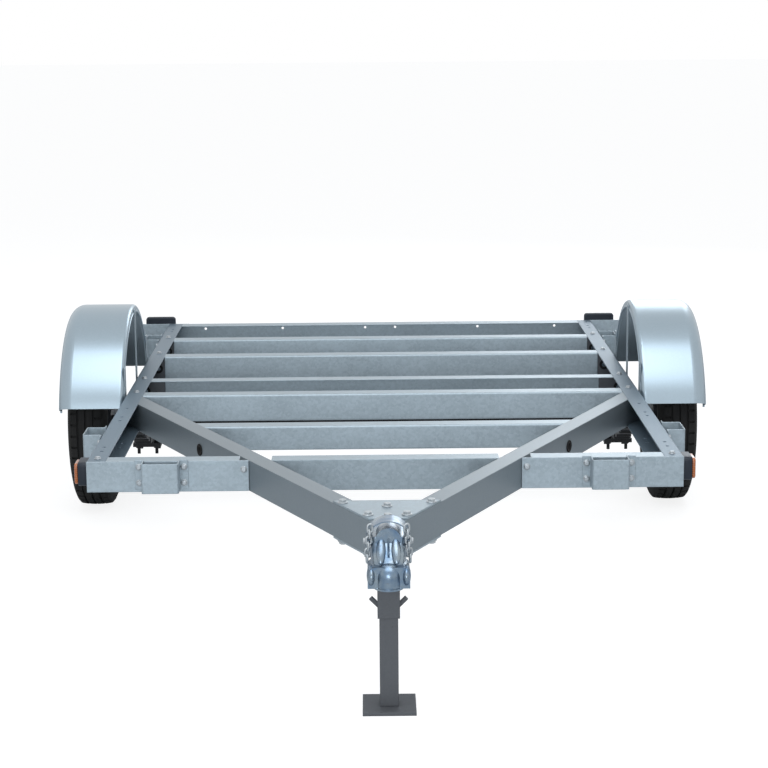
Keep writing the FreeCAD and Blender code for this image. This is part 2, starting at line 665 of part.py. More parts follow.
def axle_clamps():
    """Plate under each spring with two rods bent over the axle."""
    plate = box("-rail_mid - clamp_width/2", "axle_place - clamp_length/2", "clamp_top - clamp_wall",
                "clamp_width", "clamp_length", "clamp_wall")
    reach = "(leaf_width/2 + clamp_gap + clamp_rod)"
    beside_axle = "(axle_width/2 + clamp_gap + clamp_rod)"
    low = "(clamp_top - clamp_wall - clamp_tail)"
    top = "(beam_low + axle_width + clamp_gap + clamp_rod)"
    pieces = [plate]
    for along in ("-1", "1"):
        y = f"axle_place + {along}*{beside_axle}"
        for side in ("-1", "1"):
            x = f"-rail_mid + {side}*{reach}"
            pieces.append(rod(x, y, low, "clamp_rod", f"{top} - {low}"))
            corner = bind(doc.addObject("Part::Sphere", "corner"), Radius="clamp_rod")
            pieces.append(place(corner, x, y, top))
        pieces.append(rod(f"-rail_mid - {reach}", y, top, "clamp_rod", f"2*{reach}", ALONG_X))
    keep_pair("axle_clamp", fuse(*pieces))


# ---------------------------------------------------------------- wheels

def tyres():
    """Tyre with rounded shoulders, seated on the rim's beads."""
    half, seat = "(tyre_width/2)", "(rim_radius + seat_gap)"
    bead = "(rim_half - rim_wall - seat_gap)"
    knee = f"({seat} + bead_depth)"
    bulge = f"({half} - {bead})*0.9"
    section = [(f"-{bead}", seat), (f"-{bead}", knee), (f"-{half}", knee, bulge),
               (f"-{half}", "tyre_radius", "shoulder_round"), (half, "tyre_radius", "shoulder_round"),
               (half, knee, bulge), (bead, knee), (bead, seat)]
    keep_pair("tyre", turned(section, "-wheel_place", "axle_place", "tyre_radius"))


def rims():
    """Barrel with turned-up edges and a disc near its outer side, holed for the hub and studs."""
    low, edge = "(rim_radius - rim_wall)", "(rim_radius + rim_edge)"
    inner = "rim_half - rim_wall"
    barrel = turned([("-rim_half", low), ("rim_half", low), ("rim_half", edge), (inner, edge),
                     (inner, "rim_radius"), (f"-({inner})", "rim_radius"), (f"-({inner})", edge),
                     ("-rim_half", edge)], "-wheel_place", "axle_place", "tyre_radius")
    face = "-wheel_place - rim_offset - disc_wall"
    disc = rod(face, "axle_place", "tyre_radius", f"{low} + seat_gap", "disc_wall", ALONG_X)
    drill = (f"{face} - disc_wall", "3*disc_wall")
    holes = [rod(drill[0], "axle_place", "tyre_radius", "hub_radius + seat_gap", drill[1], ALONG_X)]
    for index in range(SIZES["stud_count"]):
        angle = 360 / SIZES["stud_count"] * index
        holes.append(on_circle(drill[0], "stud_circle/2", angle, "stud_radius + seat_gap", drill[1]))
        vent_angle = angle + 180 / SIZES["stud_count"]
        holes.append(on_circle(drill[0], "vent_circle/2", vent_angle, "vent_radius", drill[1]))
    keep_pair("rim", cut(fuse(barrel, disc), *holes))


def on_circle(x, radius, degrees, size, length):
    """Round bar along X at an angle around the wheel's centre."""
    return rod(x, f"axle_place + ({radius})*sin({degrees})", f"tyre_radius + ({radius})*cos({degrees})",
               size, length, ALONG_X)


def hubs():
    """Hub with a flange behind the disc, studs and a cap over the spindle's end."""
    outer = "-wheel_place - hub_length/2 - cap_wall"
    disc_back = "-wheel_place - rim_offset"
    barrel = rod(outer, "axle_place", "tyre_radius", "hub_radius", "hub_length + cap_wall", ALONG_X)
    flange = rod(f"{disc_back} + seat_gap", "axle_place", "tyre_radius", "hub_flange", "hub_flange_wall",
                 ALONG_X)
    studs = []
    for index in range(SIZES["stud_count"]):
        studs.append(on_circle(f"{disc_back} + seat_gap + stud_root - stud_length", "stud_circle/2",
                               360 / SIZES["stud_count"] * index, "stud_radius", "stud_length"))
    bore = rod(f"{outer} + cap_wall - seat_gap", "axle_place", "tyre_radius",
               "spindle_radius + spindle_clearance", "hub_length + cap_wall", ALONG_X)
    keep_pair("hub", cut(fuse(barrel, flange, *studs), bore))


# ---------------------------------------------------------------- fenders

def fenders():
    """Round-topped shells over the wheels: rolled outer shoulder and a small inner lip."""
    top, wall = "fender_radius", "fender_wall"
    skirt, lip = f"{top} - fender_skirt", f"{top} - fender_lip"
    under = f"{top} - {wall}"
    section = [("-fender_in", lip), ("-fender_in", top, "fender_roll"),
               ("-fender_out", top, "fender_shoulder"), ("-fender_out", skirt),
               (f"-fender_out + {wall}", skirt),
               (f"-fender_out + {wall}", under, f"fender_shoulder - {wall}"),
               (f"-fender_in - {wall}", under, f"fender_roll - {wall}"), (f"-fender_in - {wall}", lip)]
    shell = doc.addObject("Part::Revolution", "fender")
    shell.Source = outline(doc.addObject("Sketcher::SketchObject", "fender_outline"), section)
    shell.Axis = Vector(1, 0, 0)
    shell.Symmetric = True
    shell.Solid = True
    bind(shell, Angle="fender_sweep")
    place(shell, 0, "axle_place", "tyre_radius", ALONG_Y)
    keep_pair("fender", shell)


def fender_brackets():
    """Upright strap to the crown and two short tabs, each on a foot at the side rail's web."""
    face = "-fender_in + seat_gap"
    low = "(rail_low + strap_rise)"
    tab_reach = "sqrt((fender_radius - fender_lip/2)^2 - (tab_setback - strap_width/2)^2)"
    heights = {"0": "fender_radius - fender_roll", "-tab_setback": tab_reach, "tab_setback": tab_reach}
    pieces = []
    for along, rise in heights.items():
        y = f"axle_place + {along} - strap_width/2"
        strap = box(face, y, low, "steel_wall", "strap_width", f"tyre_radius + {rise} - {low}")
        foot = box(f"{face} + steel_wall", y, low, "fender_gap - steel_wall - 2*seat_gap", "strap_width",
                   "foot_height")
        pieces.append(fuse(strap, foot))
    keep_pair("fender_bracket", group(*pieces))


# ---------------------------------------------------------------- stake pockets

def pocket_section():
    """Plan outline of a hat-shaped pocket: flanges on local y = 0, face proud along -y."""
    half, proud, wall = "(pocket_width/2)", "pocket_proud", "pocket_wall"
    brim = f"({half} + pocket_flange)"
    bend, inside = "2*pocket_wall", "pocket_wall"
    return [(f"-{brim}", 0), (f"-{brim}", f"-{wall}"), (f"-{half}", f"-{wall}"),
            (f"-{half}", f"-{proud}", bend), (half, f"-{proud}", bend), (half, f"-{wall}"),
            (brim, f"-{wall}"), (brim, 0), (f"{half} - {wall}", 0),
            (f"{half} - {wall}", f"-{proud} + {wall}", inside),
            (f"-{half} + {wall}", f"-{proud} + {wall}", inside), (f"-{half} + {wall}", 0)]


def stake_pockets():
    """Six pockets on the outside of the frame: two on the front rail and two on each side."""
    keep_pair("stake_pocket_front", bar(pocket_section(), "pocket_height", "-rail_out + front_pocket_inset",
                                        "front - seat_gap", "pocket_low"))
    sideways = Rotation(Vector(0, 0, 1), -90)
    for name, y in (("fore", "front + fore_pocket_setback"), ("aft", "aft_pocket")):
        keep_pair(f"stake_pocket_{name}", bar(pocket_section(), "pocket_height", "-rail_out - seat_gap", y,
                                              "pocket_low", sideways))


# ---------------------------------------------------------------- lamps

def side_markers():
    """Amber marker lamp on the outside of each side rail, near its front end."""
    y, z = "front + marker_setback - marker_length/2", "rail_low + (rail_height - marker_height)/2"
    back = "-rail_out - seat_gap - marker_depth"
    keep_pair("marker_base", box(back, y, z, "marker_depth", "marker_length", "marker_height"))
    keep_pair("marker_lens", box(f"{back} - seat_gap - marker_lens", f"{y} + marker_rim",
                                 f"{z} + marker_rim", "marker_lens", "marker_length - 2*marker_rim",
                                 "marker_height - 2*marker_rim"))


def tail_lamps():
    """Plates that extend the rear rail, each with a lamp behind it."""
    inner, outer, top = "rail_out - plate_inboard", "rail_out + plate_outboard", "frame_top"
    low = "rail_low + plate_rise"
    plan = [(f"-({inner})", low), (f"-({inner})", top), (f"-({outer})", top),
            (f"-({outer})", f"{top} - plate_corner"), (f"-({outer} - plate_slope)", low)]
    plate = bar(plan, "steel_wall - seat_gap", 0, "lamp_back", 0, ALONG_Y)
    hole = rod(f"-({outer}) + plate_hole_inset", "lamp_back + steel_wall", f"{top} - plate_hole_drop",
               "plate_hole_radius", "3*steel_wall", ALONG_Y)
    keep_pair("lamp_plate", cut(plate, hole))
    x, z = "-rail_out - lamp_outboard - lamp_width/2", "frame_top + lamp_rise - lamp_height"
    keep_pair("lamp_base", box(x, "lamp_back + seat_gap", z, "lamp_width", "lamp_depth", "lamp_height"))
    keep_pair("lamp_lens", box(f"{x} + lens_rim", "lamp_back + 2*seat_gap + lamp_depth", f"{z} + lens_rim",
                               "lamp_width - 2*lens_rim", "lamp_lens - 2*seat_gap",
                               "lamp_height - 2*lens_rim"))


def check_and_write():
    """Stop on any failed object, then write one STEP file for each node."""
    doc.recompute()
    for item in doc.Objects:
        if "Invalid" in item.State or "Error" in item.State:
            raise RuntimeError(f"{item.Label} failed: {item.State}")
    os.makedirs("parts", exist_ok=True)
    for label, item in nodes.items():
        shape = item.Shape
        if shape.isNull() or not shape.isValid() or not shape.Solids:
            raise RuntimeError(f"{label} has no valid solid")
        shape.exportStep(f"parts/{label}.step")
    print(f"{len(nodes)} nodes written")


fill_sheet()
for make in (side_rails, front_rails, rear_rail, cross_members, member_cleats, tongue_arms, tongue_brace,
             tongue_stub, gusset_plates, coupler_body, coupler_lever, leg_socket, parking_leg, axle_beam,
             leaf_springs, spring_hangers, axle_clamps, tyres, rims, hubs, fenders, fender_brackets,
             stake_pockets, side_markers, tail_lamps):
    make()
check_and_write()
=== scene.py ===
"""Looks of a galvanised utility trailer, laid out as a Blender add-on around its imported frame."""
import json
import math

import bpy
from mathutils import Matrix, Vector


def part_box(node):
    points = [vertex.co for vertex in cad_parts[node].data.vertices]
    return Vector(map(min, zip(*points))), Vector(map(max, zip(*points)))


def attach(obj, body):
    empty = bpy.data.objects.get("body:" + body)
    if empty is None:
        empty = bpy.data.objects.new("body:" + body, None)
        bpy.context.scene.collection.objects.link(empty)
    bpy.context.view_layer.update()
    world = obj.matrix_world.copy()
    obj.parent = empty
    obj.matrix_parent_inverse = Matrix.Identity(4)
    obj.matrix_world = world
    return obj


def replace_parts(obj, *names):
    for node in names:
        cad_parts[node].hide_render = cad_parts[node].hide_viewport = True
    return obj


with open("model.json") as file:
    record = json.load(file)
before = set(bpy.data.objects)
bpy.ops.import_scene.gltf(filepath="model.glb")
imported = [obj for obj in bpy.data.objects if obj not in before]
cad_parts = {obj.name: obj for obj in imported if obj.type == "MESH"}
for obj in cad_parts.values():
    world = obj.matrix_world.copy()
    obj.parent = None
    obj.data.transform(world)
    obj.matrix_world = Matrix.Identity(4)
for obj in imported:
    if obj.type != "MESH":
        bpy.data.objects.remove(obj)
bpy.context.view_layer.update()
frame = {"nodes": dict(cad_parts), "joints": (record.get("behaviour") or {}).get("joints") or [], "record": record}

bl_info = {
    "name": "Utility trailer looks",
    "version": (1, 0, 0),
    "blender": (4, 5, 0),
    "location": "View3D > Sidebar > Trailer",
    "description": "Finishes, fasteners, tyres, coupler and lamps of a galvanised utility trailer",
    "category": "Object",
}

JOINTS = {joint["name"]: joint for joint in frame["joints"]}
WHEELS = {side: Vector(JOINTS[f"wheel_{side}_spin"]["pos_m"]) for side in ("left", "right")}
SIGNS = {"left": -1, "right": 1}
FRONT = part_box("front_rail_left")[0][1]

# Bolts of the gusset plates: distance off centre, and ahead of the plate's rear edge.
PLATE_BOLTS = ((0.103, 0.021), (-0.103, 0.021), (0, 0.056), (0.044, 0.132), (-0.044, 0.132), (0, 0.151))
# Bolts in the side rails' top flanges: distance off centre, and places behind the front rail.
RAIL_BOLT_X, RAIL_BOLT_SETBACKS = 0.736, (0.034, 0.891, 1.105, 1.542, 1.843)
CLEAT_BOLT_HEIGHTS = (0.352, 0.388)
CLEAT_LEG_MIDDLE = 0.024
# Bolt where each arm meets the front rail, and the two at each end of the rear rail.
ARM_BOLT_X, ARM_BOLT_Z = 0.361, 0.387
TAIL_BOLT_X, TAIL_BOLT_HEIGHTS = 0.742, (0.350, 0.390)
# Rods of the axle clamps: their tails below the plate, and their places from its middle.
CLAMP_TAIL, CLAMP_ROD_X, CLAMP_ROD_Y = 0.026, 0.0278, 0.0353
# Spring eyes from the ends and the foot of the hangers, and the leaf clips beside the axle.
EYE_FROM_END, EYE_LIFT = 0.032, 0.021
CLIP_ALONG, LEAF_SEAT, LEAF_DIAMETER = 0.150, 0.236, 1.63
# Wheel disc's face beyond the wheel's middle, the studs' circle and the valve's place on the disc.
DISC_FACE, STUD_CIRCLE, STUD_COUNT = 0.016, 0.05715, 5
VALVE_CIRCLE, VALVE_ANGLE = 0.128, 0.2
# Coupler: lever's outer face and pin, saddle's side and its bolts behind the lever's front.
LEVER_FACE, PIN_BACK, PIN_HEIGHT = 0.049, 0.028, 0.39825
SADDLE_FACE, SADDLE_BOLT_BACKS, SADDLE_BOLT_HEIGHT = 0.03825, (0.072, 0.110), 0.368
# Wiring holes in the tongue arms: off centre, behind the front rail, height; and the arm's slope.
ARM_HOLE, ARM_SLOPE = (0.4979, 0.297, 0.370), 0.5098
# Fender edges below the crown, outside and inside.
FENDER_SKIRT, FENDER_LIP = 0.074, 0.022


# ---------------------------------------------------------------- sizes and colours

class TrailerFinish(bpy.types.PropertyGroup):
    """Colours and grain of the trailer's surfaces."""
    zinc_colour: bpy.props.FloatVectorProperty(
        name="Galvanised steel", description="Colour of the galvanised channel and sheet",
        subtype="COLOR", size=3, min=0, max=1, default=(0.34, 0.40, 0.44))
    tongue_colour: bpy.props.FloatVectorProperty(
        name="Tongue steel", description="Colour of the smoother tongue arms",
        subtype="COLOR", size=3, min=0, max=1, default=(0.22, 0.255, 0.28))
    plate_colour: bpy.props.FloatVectorProperty(
        name="Zinc plate", description="Colour of the bright plated coupler and fasteners",
        subtype="COLOR", size=3, min=0, max=1, default=(0.21, 0.25, 0.28))
    # Painted shade: the side rails' colour is darker and bluer than the other galvanised steel, for the darker
    # look of their tops under the light.
    rail_colour_with_painted_shade: bpy.props.FloatVectorProperty(
        name="Side rail steel", description="Colour of the smoother, bluer side rails",
        subtype="COLOR", size=3, min=0, max=1, default=(0.165, 0.215, 0.26))
    fender_colour: bpy.props.FloatVectorProperty(
        name="Fender sheet", description="Colour of the smooth rolled sheet of the fenders",
        subtype="COLOR", size=3, min=0, max=1, default=(0.33, 0.405, 0.46))
    bolt_colour: bpy.props.FloatVectorProperty(
        name="Bolt zinc", description="Colour of the plated bolt heads",
        subtype="COLOR", size=3, min=0, max=1, default=(0.42, 0.45, 0.47))
    # The parking leg's own dull colour; the member cleats take the same finish, where its darkness is painted
    # shade for the shade under the side rails' flanges.
    leg_colour_and_cleat_shade: bpy.props.FloatVectorProperty(
        name="Leg steel", description="Colour of the dull parking leg",
        subtype="COLOR", size=3, min=0, max=1, default=(0.115, 0.12, 0.13))
    spangle_size: bpy.props.FloatProperty(
        name="Spangle size", description="Width of one zinc crystal",
        subtype="DISTANCE", unit="LENGTH", min=0.001, default=0.007)


class TrailerSizes(bpy.types.PropertyGroup):
    """Sizes of the small pieces that Blender adds."""
    bolt_radius: bpy.props.FloatProperty(
        name="Bolt head radius", description="Corner radius of a frame bolt's hexagon head",
        subtype="DISTANCE", unit="LENGTH", min=0.002, default=0.0095)
    small_bolt_radius: bpy.props.FloatProperty(
        name="Small bolt head radius", description="Corner radius of a bracket bolt's hexagon head",
        subtype="DISTANCE", unit="LENGTH", min=0.002, default=0.0068)
    nut_radius: bpy.props.FloatProperty(
        name="Wheel nut radius", description="Corner radius of a wheel nut",
        subtype="DISTANCE", unit="LENGTH", min=0.004, default=0.0115)
    tread_depth: bpy.props.FloatProperty(
        name="Tread depth", description="Depth of the grooves in a tyre's tread",
        subtype="DISTANCE", unit="LENGTH", min=0.001, default=0.0065)
    hem_radius: bpy.props.FloatProperty(
        name="Fender hem", description="Radius of the rolled wire edge of a fender",
        subtype="DISTANCE", unit="LENGTH", min=0.001, default=0.0032)
    link_wire: bpy.props.FloatProperty(
        name="Chain wire", description="Radius of the wire of a safety chain's link",
        subtype="DISTANCE", unit="LENGTH", min=0.001, default=0.0024)


# ---------------------------------------------------------------- shader sums

class Wire:
    """A shader output that takes part in ordinary Python sums."""

    def __init__(self, finish, socket):
        self.finish, self.socket = finish, socket

    def sum(self, operation, first, second):
        return self.finish.node("ShaderNodeMath", {"operation": operation}, {0: first, 1: second})

    def __add__(self, other):
        return self.sum("ADD", self, other)

    __radd__ = __add__

    def __mul__(self, other):
        return self.sum("MULTIPLY", self, other)

    __rmul__ = __mul__


class Finish:
    """One material being built: its nodes, its surface shader and its coordinates."""

    def __init__(self, name, metallic=0.0, roughness=0.5, gloss=0.5):
        self.material = bpy.data.materials.new(name)
        self.material.use_nodes = True
        self.tree = self.material.node_tree
        self.surface = self.tree.nodes["Principled BSDF"]
        self.surface.inputs["Metallic"].default_value = metallic
        self.surface.inputs["Roughness"].default_value = roughness
        self.surface.inputs["Specular IOR Level"].default_value = gloss
        self.place = self.node("ShaderNodeTexCoord", output="Object")

    def node(self, kind, settings=None, sockets=None, output=0):
        """Add a node, set it, feed its sockets and hand back one of its outputs."""
        made = self.tree.nodes.new(kind)
        for name, value in (settings or {}).items():
            setattr(made, name, value)
        for key, value in (sockets or {}).items():
            self.feed(made.inputs[key], value)
        return Wire(self, made.outputs[output])

    def feed(self, socket, value):
        """Link a wire to a socket, or set the socket's own value."""
        if isinstance(value, Wire):
            self.tree.links.new(value.socket, socket)
        else:
            socket.default_value = value

    def noise(self, scale, detail=3.0, rough=0.55):
        """Soft random grey, about 0.5 on average."""
        return self.node("ShaderNodeTexNoise", sockets={
            "Vector": self.place, "Scale": scale, "Detail": detail, "Roughness": rough}, output="Fac")

    def crystals(self, size):
        """One random grey for each zinc crystal."""
        colour = self.node("ShaderNodeTexVoronoi", sockets={
            "Vector": self.place, "Scale": 1/size}, output="Color")
        return self.node("ShaderNodeSeparateColor", sockets={0: colour})

    def band(self, value, low, high):
        """A value between 0 and 1 as it goes from low to high."""
        return self.node("ShaderNodeMapRange", sockets={
            "Value": value, "From Min": low, "From Max": high}, output="Result")

    def blend(self, factor, first, second):
        """Mix two colours."""
        return self.node("ShaderNodeMix", {"data_type": "RGBA"}, {
            "Factor": factor, 6: first, 7: second}, output=2)

    def bump(self, height, strength, distance, edge=0.0):
        """Fine relief, with edges that catch the light as if bent to a small radius."""
        sockets = {"Height": height, "Strength": strength, "Distance": distance}
        if edge:
            sockets["Normal"] = self.node("ShaderNodeBevel", {"samples": 6}, {"Radius": edge})
        wire = self.node("ShaderNodeBump", sockets=sockets, output="Normal")
        self.feed(self.surface.inputs["Normal"], wire)

    def paint(self, **values):
        """Feed the surface's own sockets and hand back the finished material."""
        for name, value in values.items():
            self.feed(self.surface.inputs[name.replace("_", " ")], value)
        return self.material


def shade(colour, amount):
    """A colour made lighter or darker, as red, green, blue and alpha."""
    return (*(min(1.0, part*amount) for part in colour), 1.0)


def galvanised(name, colour, spangle, contrast, roughness=0.35, metallic=0.5, wear=0.35,
               relief=0.07, edge=0.0030):
    """Hot-dip zinc: crystals a little lighter and darker than each other, with bloom and fine scuffs."""
    finish = Finish(name, metallic=metallic, gloss=0.3)
    crystal = finish.crystals(spangle)
    fine = finish.crystals(spangle*0.35)
    bloom = finish.band(finish.noise(5.0, 5.0), 0.34, 0.68)
    scuff = finish.band(finish.noise(90.0, 7.0, 0.7), 0.62, 0.74)
    tone = crystal*0.5 + fine*0.2 + bloom*0.3
    mixed = finish.blend(tone, shade(colour, 1 - contrast), shade(colour, 1 + contrast))
    dulled = finish.blend(scuff*wear, mixed, shade(colour, 0.62))
    finish.bump(crystal*0.6 + fine*0.3 + finish.noise(700.0)*0.3, relief, 0.0004, edge)
    return finish.paint(Base_Color=dulled, Roughness=roughness + tone*contrast*1.2 + scuff*wear*0.3)


def zinc_plate(name, colour):
    """Bright zinc plating with a blue bloom, brownish clouds and fine drawing marks."""
    finish = Finish(name, metallic=0.85)
    cloud = finish.band(finish.noise(30.0, 4.0), 0.35, 0.66)
    stain = finish.band(finish.noise(55.0, 6.0, 0.65), 0.60, 0.74)
    blue = (colour[0]*0.62, colour[1]*0.80, colour[2]*1.05, 1)
    mixed = finish.blend(cloud, shade(colour, 1.35), blue)
    tarnished = finish.blend(stain*0.5, mixed, (colour[0]*0.75, colour[1]*0.55, colour[2]*0.38, 1))
    finish.bump(finish.noise(240.0), 0.05, 0.0005)
    return finish.paint(Base_Color=tarnished, Roughness=0.23 + cloud*0.12 + stain*0.15)


def black_paint(name, level=0.010):
    """Satin black paint with dust in the hollows and a slight orange peel."""
    finish = Finish(name, gloss=0.3)
    dust = finish.band(finish.noise(24.0, 6.0), 0.45, 0.8)
    mixed = finish.blend(dust, (level*0.7, level*0.8, level, 1), (level*2.2, level*2.3, level*2.6, 1))
    finish.bump(finish.noise(420.0), 0.12, 0.0004)
    return finish.paint(Base_Color=mixed, Roughness=0.38 + dust*0.25)


def rubber(name, level=0.010):
    """Matte black rubber with fine grain and a little road dust."""
    finish = Finish(name, gloss=0.22)
    grain = finish.noise(600.0)
    dust = finish.band(finish.noise(16.0, 6.0), 0.4, 0.8)
    mixed = finish.blend(dust, (level, level, level, 1), (level*2.2, level*2.1, level*2.0, 1))
    finish.bump(grain, 0.25, 0.0003)
    return finish.paint(Base_Color=mixed, Roughness=0.64 + grain*0.2)


def moulded_plastic(name):
    """Dark blue-black moulded plastic with a fine leather grain."""
    finish = Finish(name, gloss=0.35)
    grain = finish.noise(700.0)
    mixed = finish.blend(grain, (0.007, 0.011, 0.019, 1), (0.014, 0.021, 0.034, 1))
    finish.bump(grain, 0.3, 0.0003)
    return finish.paint(Base_Color=mixed, Roughness=0.36 + grain*0.15)


def lens(name, colour):
    """Glossy coloured lens with fine ribs behind its face."""
    finish = Finish(name)
    ribs = finish.node("ShaderNodeTexWave", {"bands_direction": "Z"}, {
        "Vector": finish.place, "Scale": 60.0, "Distortion": 0.0}, output="Fac")
    mixed = finish.blend(ribs, shade(colour, 0.70), shade(colour, 1.2))
    finish.bump(ribs, 0.35, 0.0006)
    finish.surface.inputs["Coat Weight"].default_value = 0.5
    return finish.paint(Base_Color=mixed, Roughness=0.18 + ribs*0.10)


def silver_paint(name):
    """Silver wheel paint with fine flake."""
    finish = Finish(name, metallic=0.6)
    flake = finish.crystals(0.0012)
    mixed = finish.blend(flake, (0.42, 0.43, 0.45, 1), (0.56, 0.57, 0.59, 1))
    finish.bump(finish.noise(300.0), 0.05, 0.0004)
    return finish.paint(Base_Color=mixed, Roughness=0.32 + flake*0.12)


def blank_label(name):
    """Pale blank sticker with rubbed edges."""
    finish = Finish(name)
    rub = finish.band(finish.noise(120.0, 6.0, 0.7), 0.58, 0.72)
    mixed = finish.blend(rub, (0.58, 0.59, 0.60, 1), (0.30, 0.31, 0.33, 1))
    finish.bump(rub, 0.1, 0.0002)
    return finish.paint(Base_Color=mixed, Roughness=0.40 + rub*0.2)


FINISHES = {}

# Nodes whose steel is smoother than their slot's usual finish; the side rails' finish also carries painted shade,
# a darker, bluer colour for the darker look of their tops under the light.
NODE_FINISHES = {"side_rail_left": "rail_steel", "side_rail_right": "rail_steel",
                 "fender_left": "fender_sheet", "fender_right": "fender_sheet"}


def make_finishes():
    """Build every material once, from the finish settings."""
    look = bpy.context.scene.trailer_finish
    FINISHES.update(
        galvanised=galvanised("galvanised", look.zinc_colour, look.spangle_size, contrast=0.15),
        tongue_steel=galvanised("tongue_steel", look.tongue_colour, look.spangle_size*0.6,
                                contrast=0.06, roughness=0.40),
        # Painted shade: the side rails take a darker, bluer copy of the galvanised steel, standing in for their
        # tops seen darker under the light.
        rail_steel=galvanised("rail_steel", look.rail_colour_with_painted_shade, look.spangle_size*0.6,
                              contrast=0.07, roughness=0.42, metallic=0.35),
        fender_sheet=galvanised("fender_sheet", look.fender_colour, look.spangle_size*0.5,
                                contrast=0.04, roughness=0.28, metallic=0.8, wear=0.03,
                                relief=0.010, edge=0.0),
        zinc_plate=zinc_plate("zinc_plate", look.plate_colour),
        bolt_zinc=galvanised("bolt_zinc", look.bolt_colour, 0.002,
                             contrast=0.12, roughness=0.34, metallic=0.7),
        # leg_steel dresses the parking leg in its own dull colour, and the member cleats through their slot in
        # model.json, where the dark colour is painted shade for the shade inside the side rails' channels.
        leg_steel=galvanised("leg_steel", look.leg_colour_and_cleat_shade, look.spangle_size*0.5,
                             contrast=0.08, roughness=0.55),
        black_paint=black_paint("black_paint"),
        tyre=rubber("tyre"),
        label=blank_label("label"),
        rim=silver_paint("rim"),
        hub=black_paint("hub", 0.015),
        black_plastic=moulded_plastic("black_plastic"),
        amber_lens=lens("amber_lens", (0.42, 0.11, 0.02)),
        red_lens=lens("red_lens", (0.42, 0.012, 0.012)),
        rubber=rubber("rubber", 0.009),
    )


def dress(piece, slot, body="chassis", finish=None):
    """Give a piece one finish, that of the record's slot that it stands for unless another finish is named, and
    the body that it rides on.
    """
    piece.data.materials.clear()
    piece.data.materials.append(FINISHES[finish or slot])
    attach(piece, body)
    return piece


# ---------------------------------------------------------------- modelling by operators

def pick(*pieces):
    """Select just these objects, the first one active."""
    bpy.ops.object.select_all(action="DESELECT")
    for piece in pieces:
        piece.select_set(True)
    bpy.context.view_layer.objects.active = pieces[0]
    return pieces[0]


def settle(piece, name):
    """Apply an object's place and turn to its mesh and name it."""
    pick(piece)
    bpy.ops.object.transform_apply(location=True, rotation=True, scale=True)
    piece.name = piece.data.name = name
    return piece


def joined(pieces, name):
    """Join objects into one mesh at the origin."""
    for piece in pieces:
        settle(piece, piece.name)
    pick(*pieces)
    if len(pieces) > 1:
        bpy.ops.object.join()
    return settle(bpy.context.view_layer.objects.active, name)


def select_faces(piece, test):
    """Select the faces that pass a test, and stay in edit mode."""
    bpy.ops.object.mode_set(mode="EDIT")
    bpy.ops.mesh.select_mode(type="FACE")
    bpy.ops.mesh.select_all(action="DESELECT")
    bpy.ops.object.mode_set(mode="OBJECT")
    for face in piece.data.polygons:
        face.select = test(face)
    bpy.ops.object.mode_set(mode="EDIT")


def smooth(piece, degrees=35):
    """Smooth shading that keeps edges sharper than an angle."""
    pick(piece)
    bpy.ops.object.shade_smooth_by_angle(angle=math.radians(degrees))
    return piece


def bevelled(piece, width, segments=2):
    """Round an object's sharp edges."""
    pick(piece)
    rounding = piece.modifiers.new("edges", "BEVEL")
    rounding.width, rounding.segments, rounding.limit_method = width, segments, "ANGLE"
    bpy.ops.object.modifier_apply(modifier=rounding.name)
    return piece


def copies(model, places, name):
    """Copies of a model that stands along +Z, each at a place and facing a direction."""
    made = []
    for spot, facing in places:
        twin = model.copy()
        twin.data = model.data.copy()
        bpy.context.collection.objects.link(twin)
        twin.matrix_world = Matrix.Translation(spot) @ Vector((0, 0, 1)).rotation_difference(
            Vector(facing)).to_matrix().to_4x4()
        made.append(twin)
    bpy.data.objects.remove(model)
    return joined(made, name)


def hex_bolt(radius):
    """Hexagon head on a washer, standing on the XY plane."""
    bpy.ops.mesh.primitive_cylinder_add(vertices=20, radius=radius*1.3, depth=radius*0.24,
                                        location=(0, 0, radius*0.12))
    washer = bevelled(settle(bpy.context.object, "washer"), radius*0.05, 1)
    bpy.ops.mesh.primitive_cylinder_add(vertices=6, radius=radius, depth=radius*0.62,
                                        location=(0, 0, radius*0.5))
    head = settle(bpy.context.object, "head")
    select_faces(head, lambda face: face.normal.z > 0.9)
    bpy.ops.mesh.inset(thickness=radius*0.14)
    bpy.ops.transform.translate(value=(0, 0, radius*0.1))
    bpy.ops.object.mode_set(mode="OBJECT")
    return smooth(joined([washer, head], "hex_bolt"), 25)


def turned(profile, segments, name, closed=False):
    """Shape turned about Z: the first ring of (height, radius) is extruded through the others."""
    height, radius = profile[0]
    bpy.ops.object.select_all(action="DESELECT")
    bpy.ops.mesh.primitive_circle_add(vertices=segments, radius=radius, location=(0, 0, height),
                                      fill_type="NOTHING")
    piece = settle(bpy.context.object, name)
    bpy.ops.object.mode_set(mode="EDIT")
    bpy.ops.mesh.select_mode(type="EDGE")
    bpy.ops.mesh.select_all(action="SELECT")
    for next_height, next_radius in profile[1:]:
        bpy.ops.mesh.extrude_edges_move(
            TRANSFORM_OT_translate={"value": (0, 0, next_height - height)})
        scale = next_radius/radius
        bpy.ops.transform.resize(value=(scale, scale, 1), center_override=(0, 0, next_height))
        height, radius = next_height, next_radius
    if not closed:
        bpy.ops.mesh.edge_face_add()
        bpy.ops.mesh.select_all(action="DESELECT")
        bpy.ops.mesh.select_mode(type="VERT")
        bpy.ops.mesh.select_non_manifold()
        bpy.ops.mesh.edge_face_add()
    bpy.ops.mesh.select_all(action="SELECT")
    bpy.ops.mesh.remove_doubles(threshold=0.00002)
    bpy.ops.mesh.normals_make_consistent(inside=False)
    bpy.ops.object.mode_set(mode="OBJECT")
    return piece


def facing(piece, spot, direction):
    """Turn a model that stands along +Z to a direction, at a spot."""
    piece.matrix_world = Matrix.Translation(spot) @ Vector((0, 0, 1)).rotation_difference(
        Vector(direction)).to_matrix().to_4x4()
    return settle(piece, piece.name)


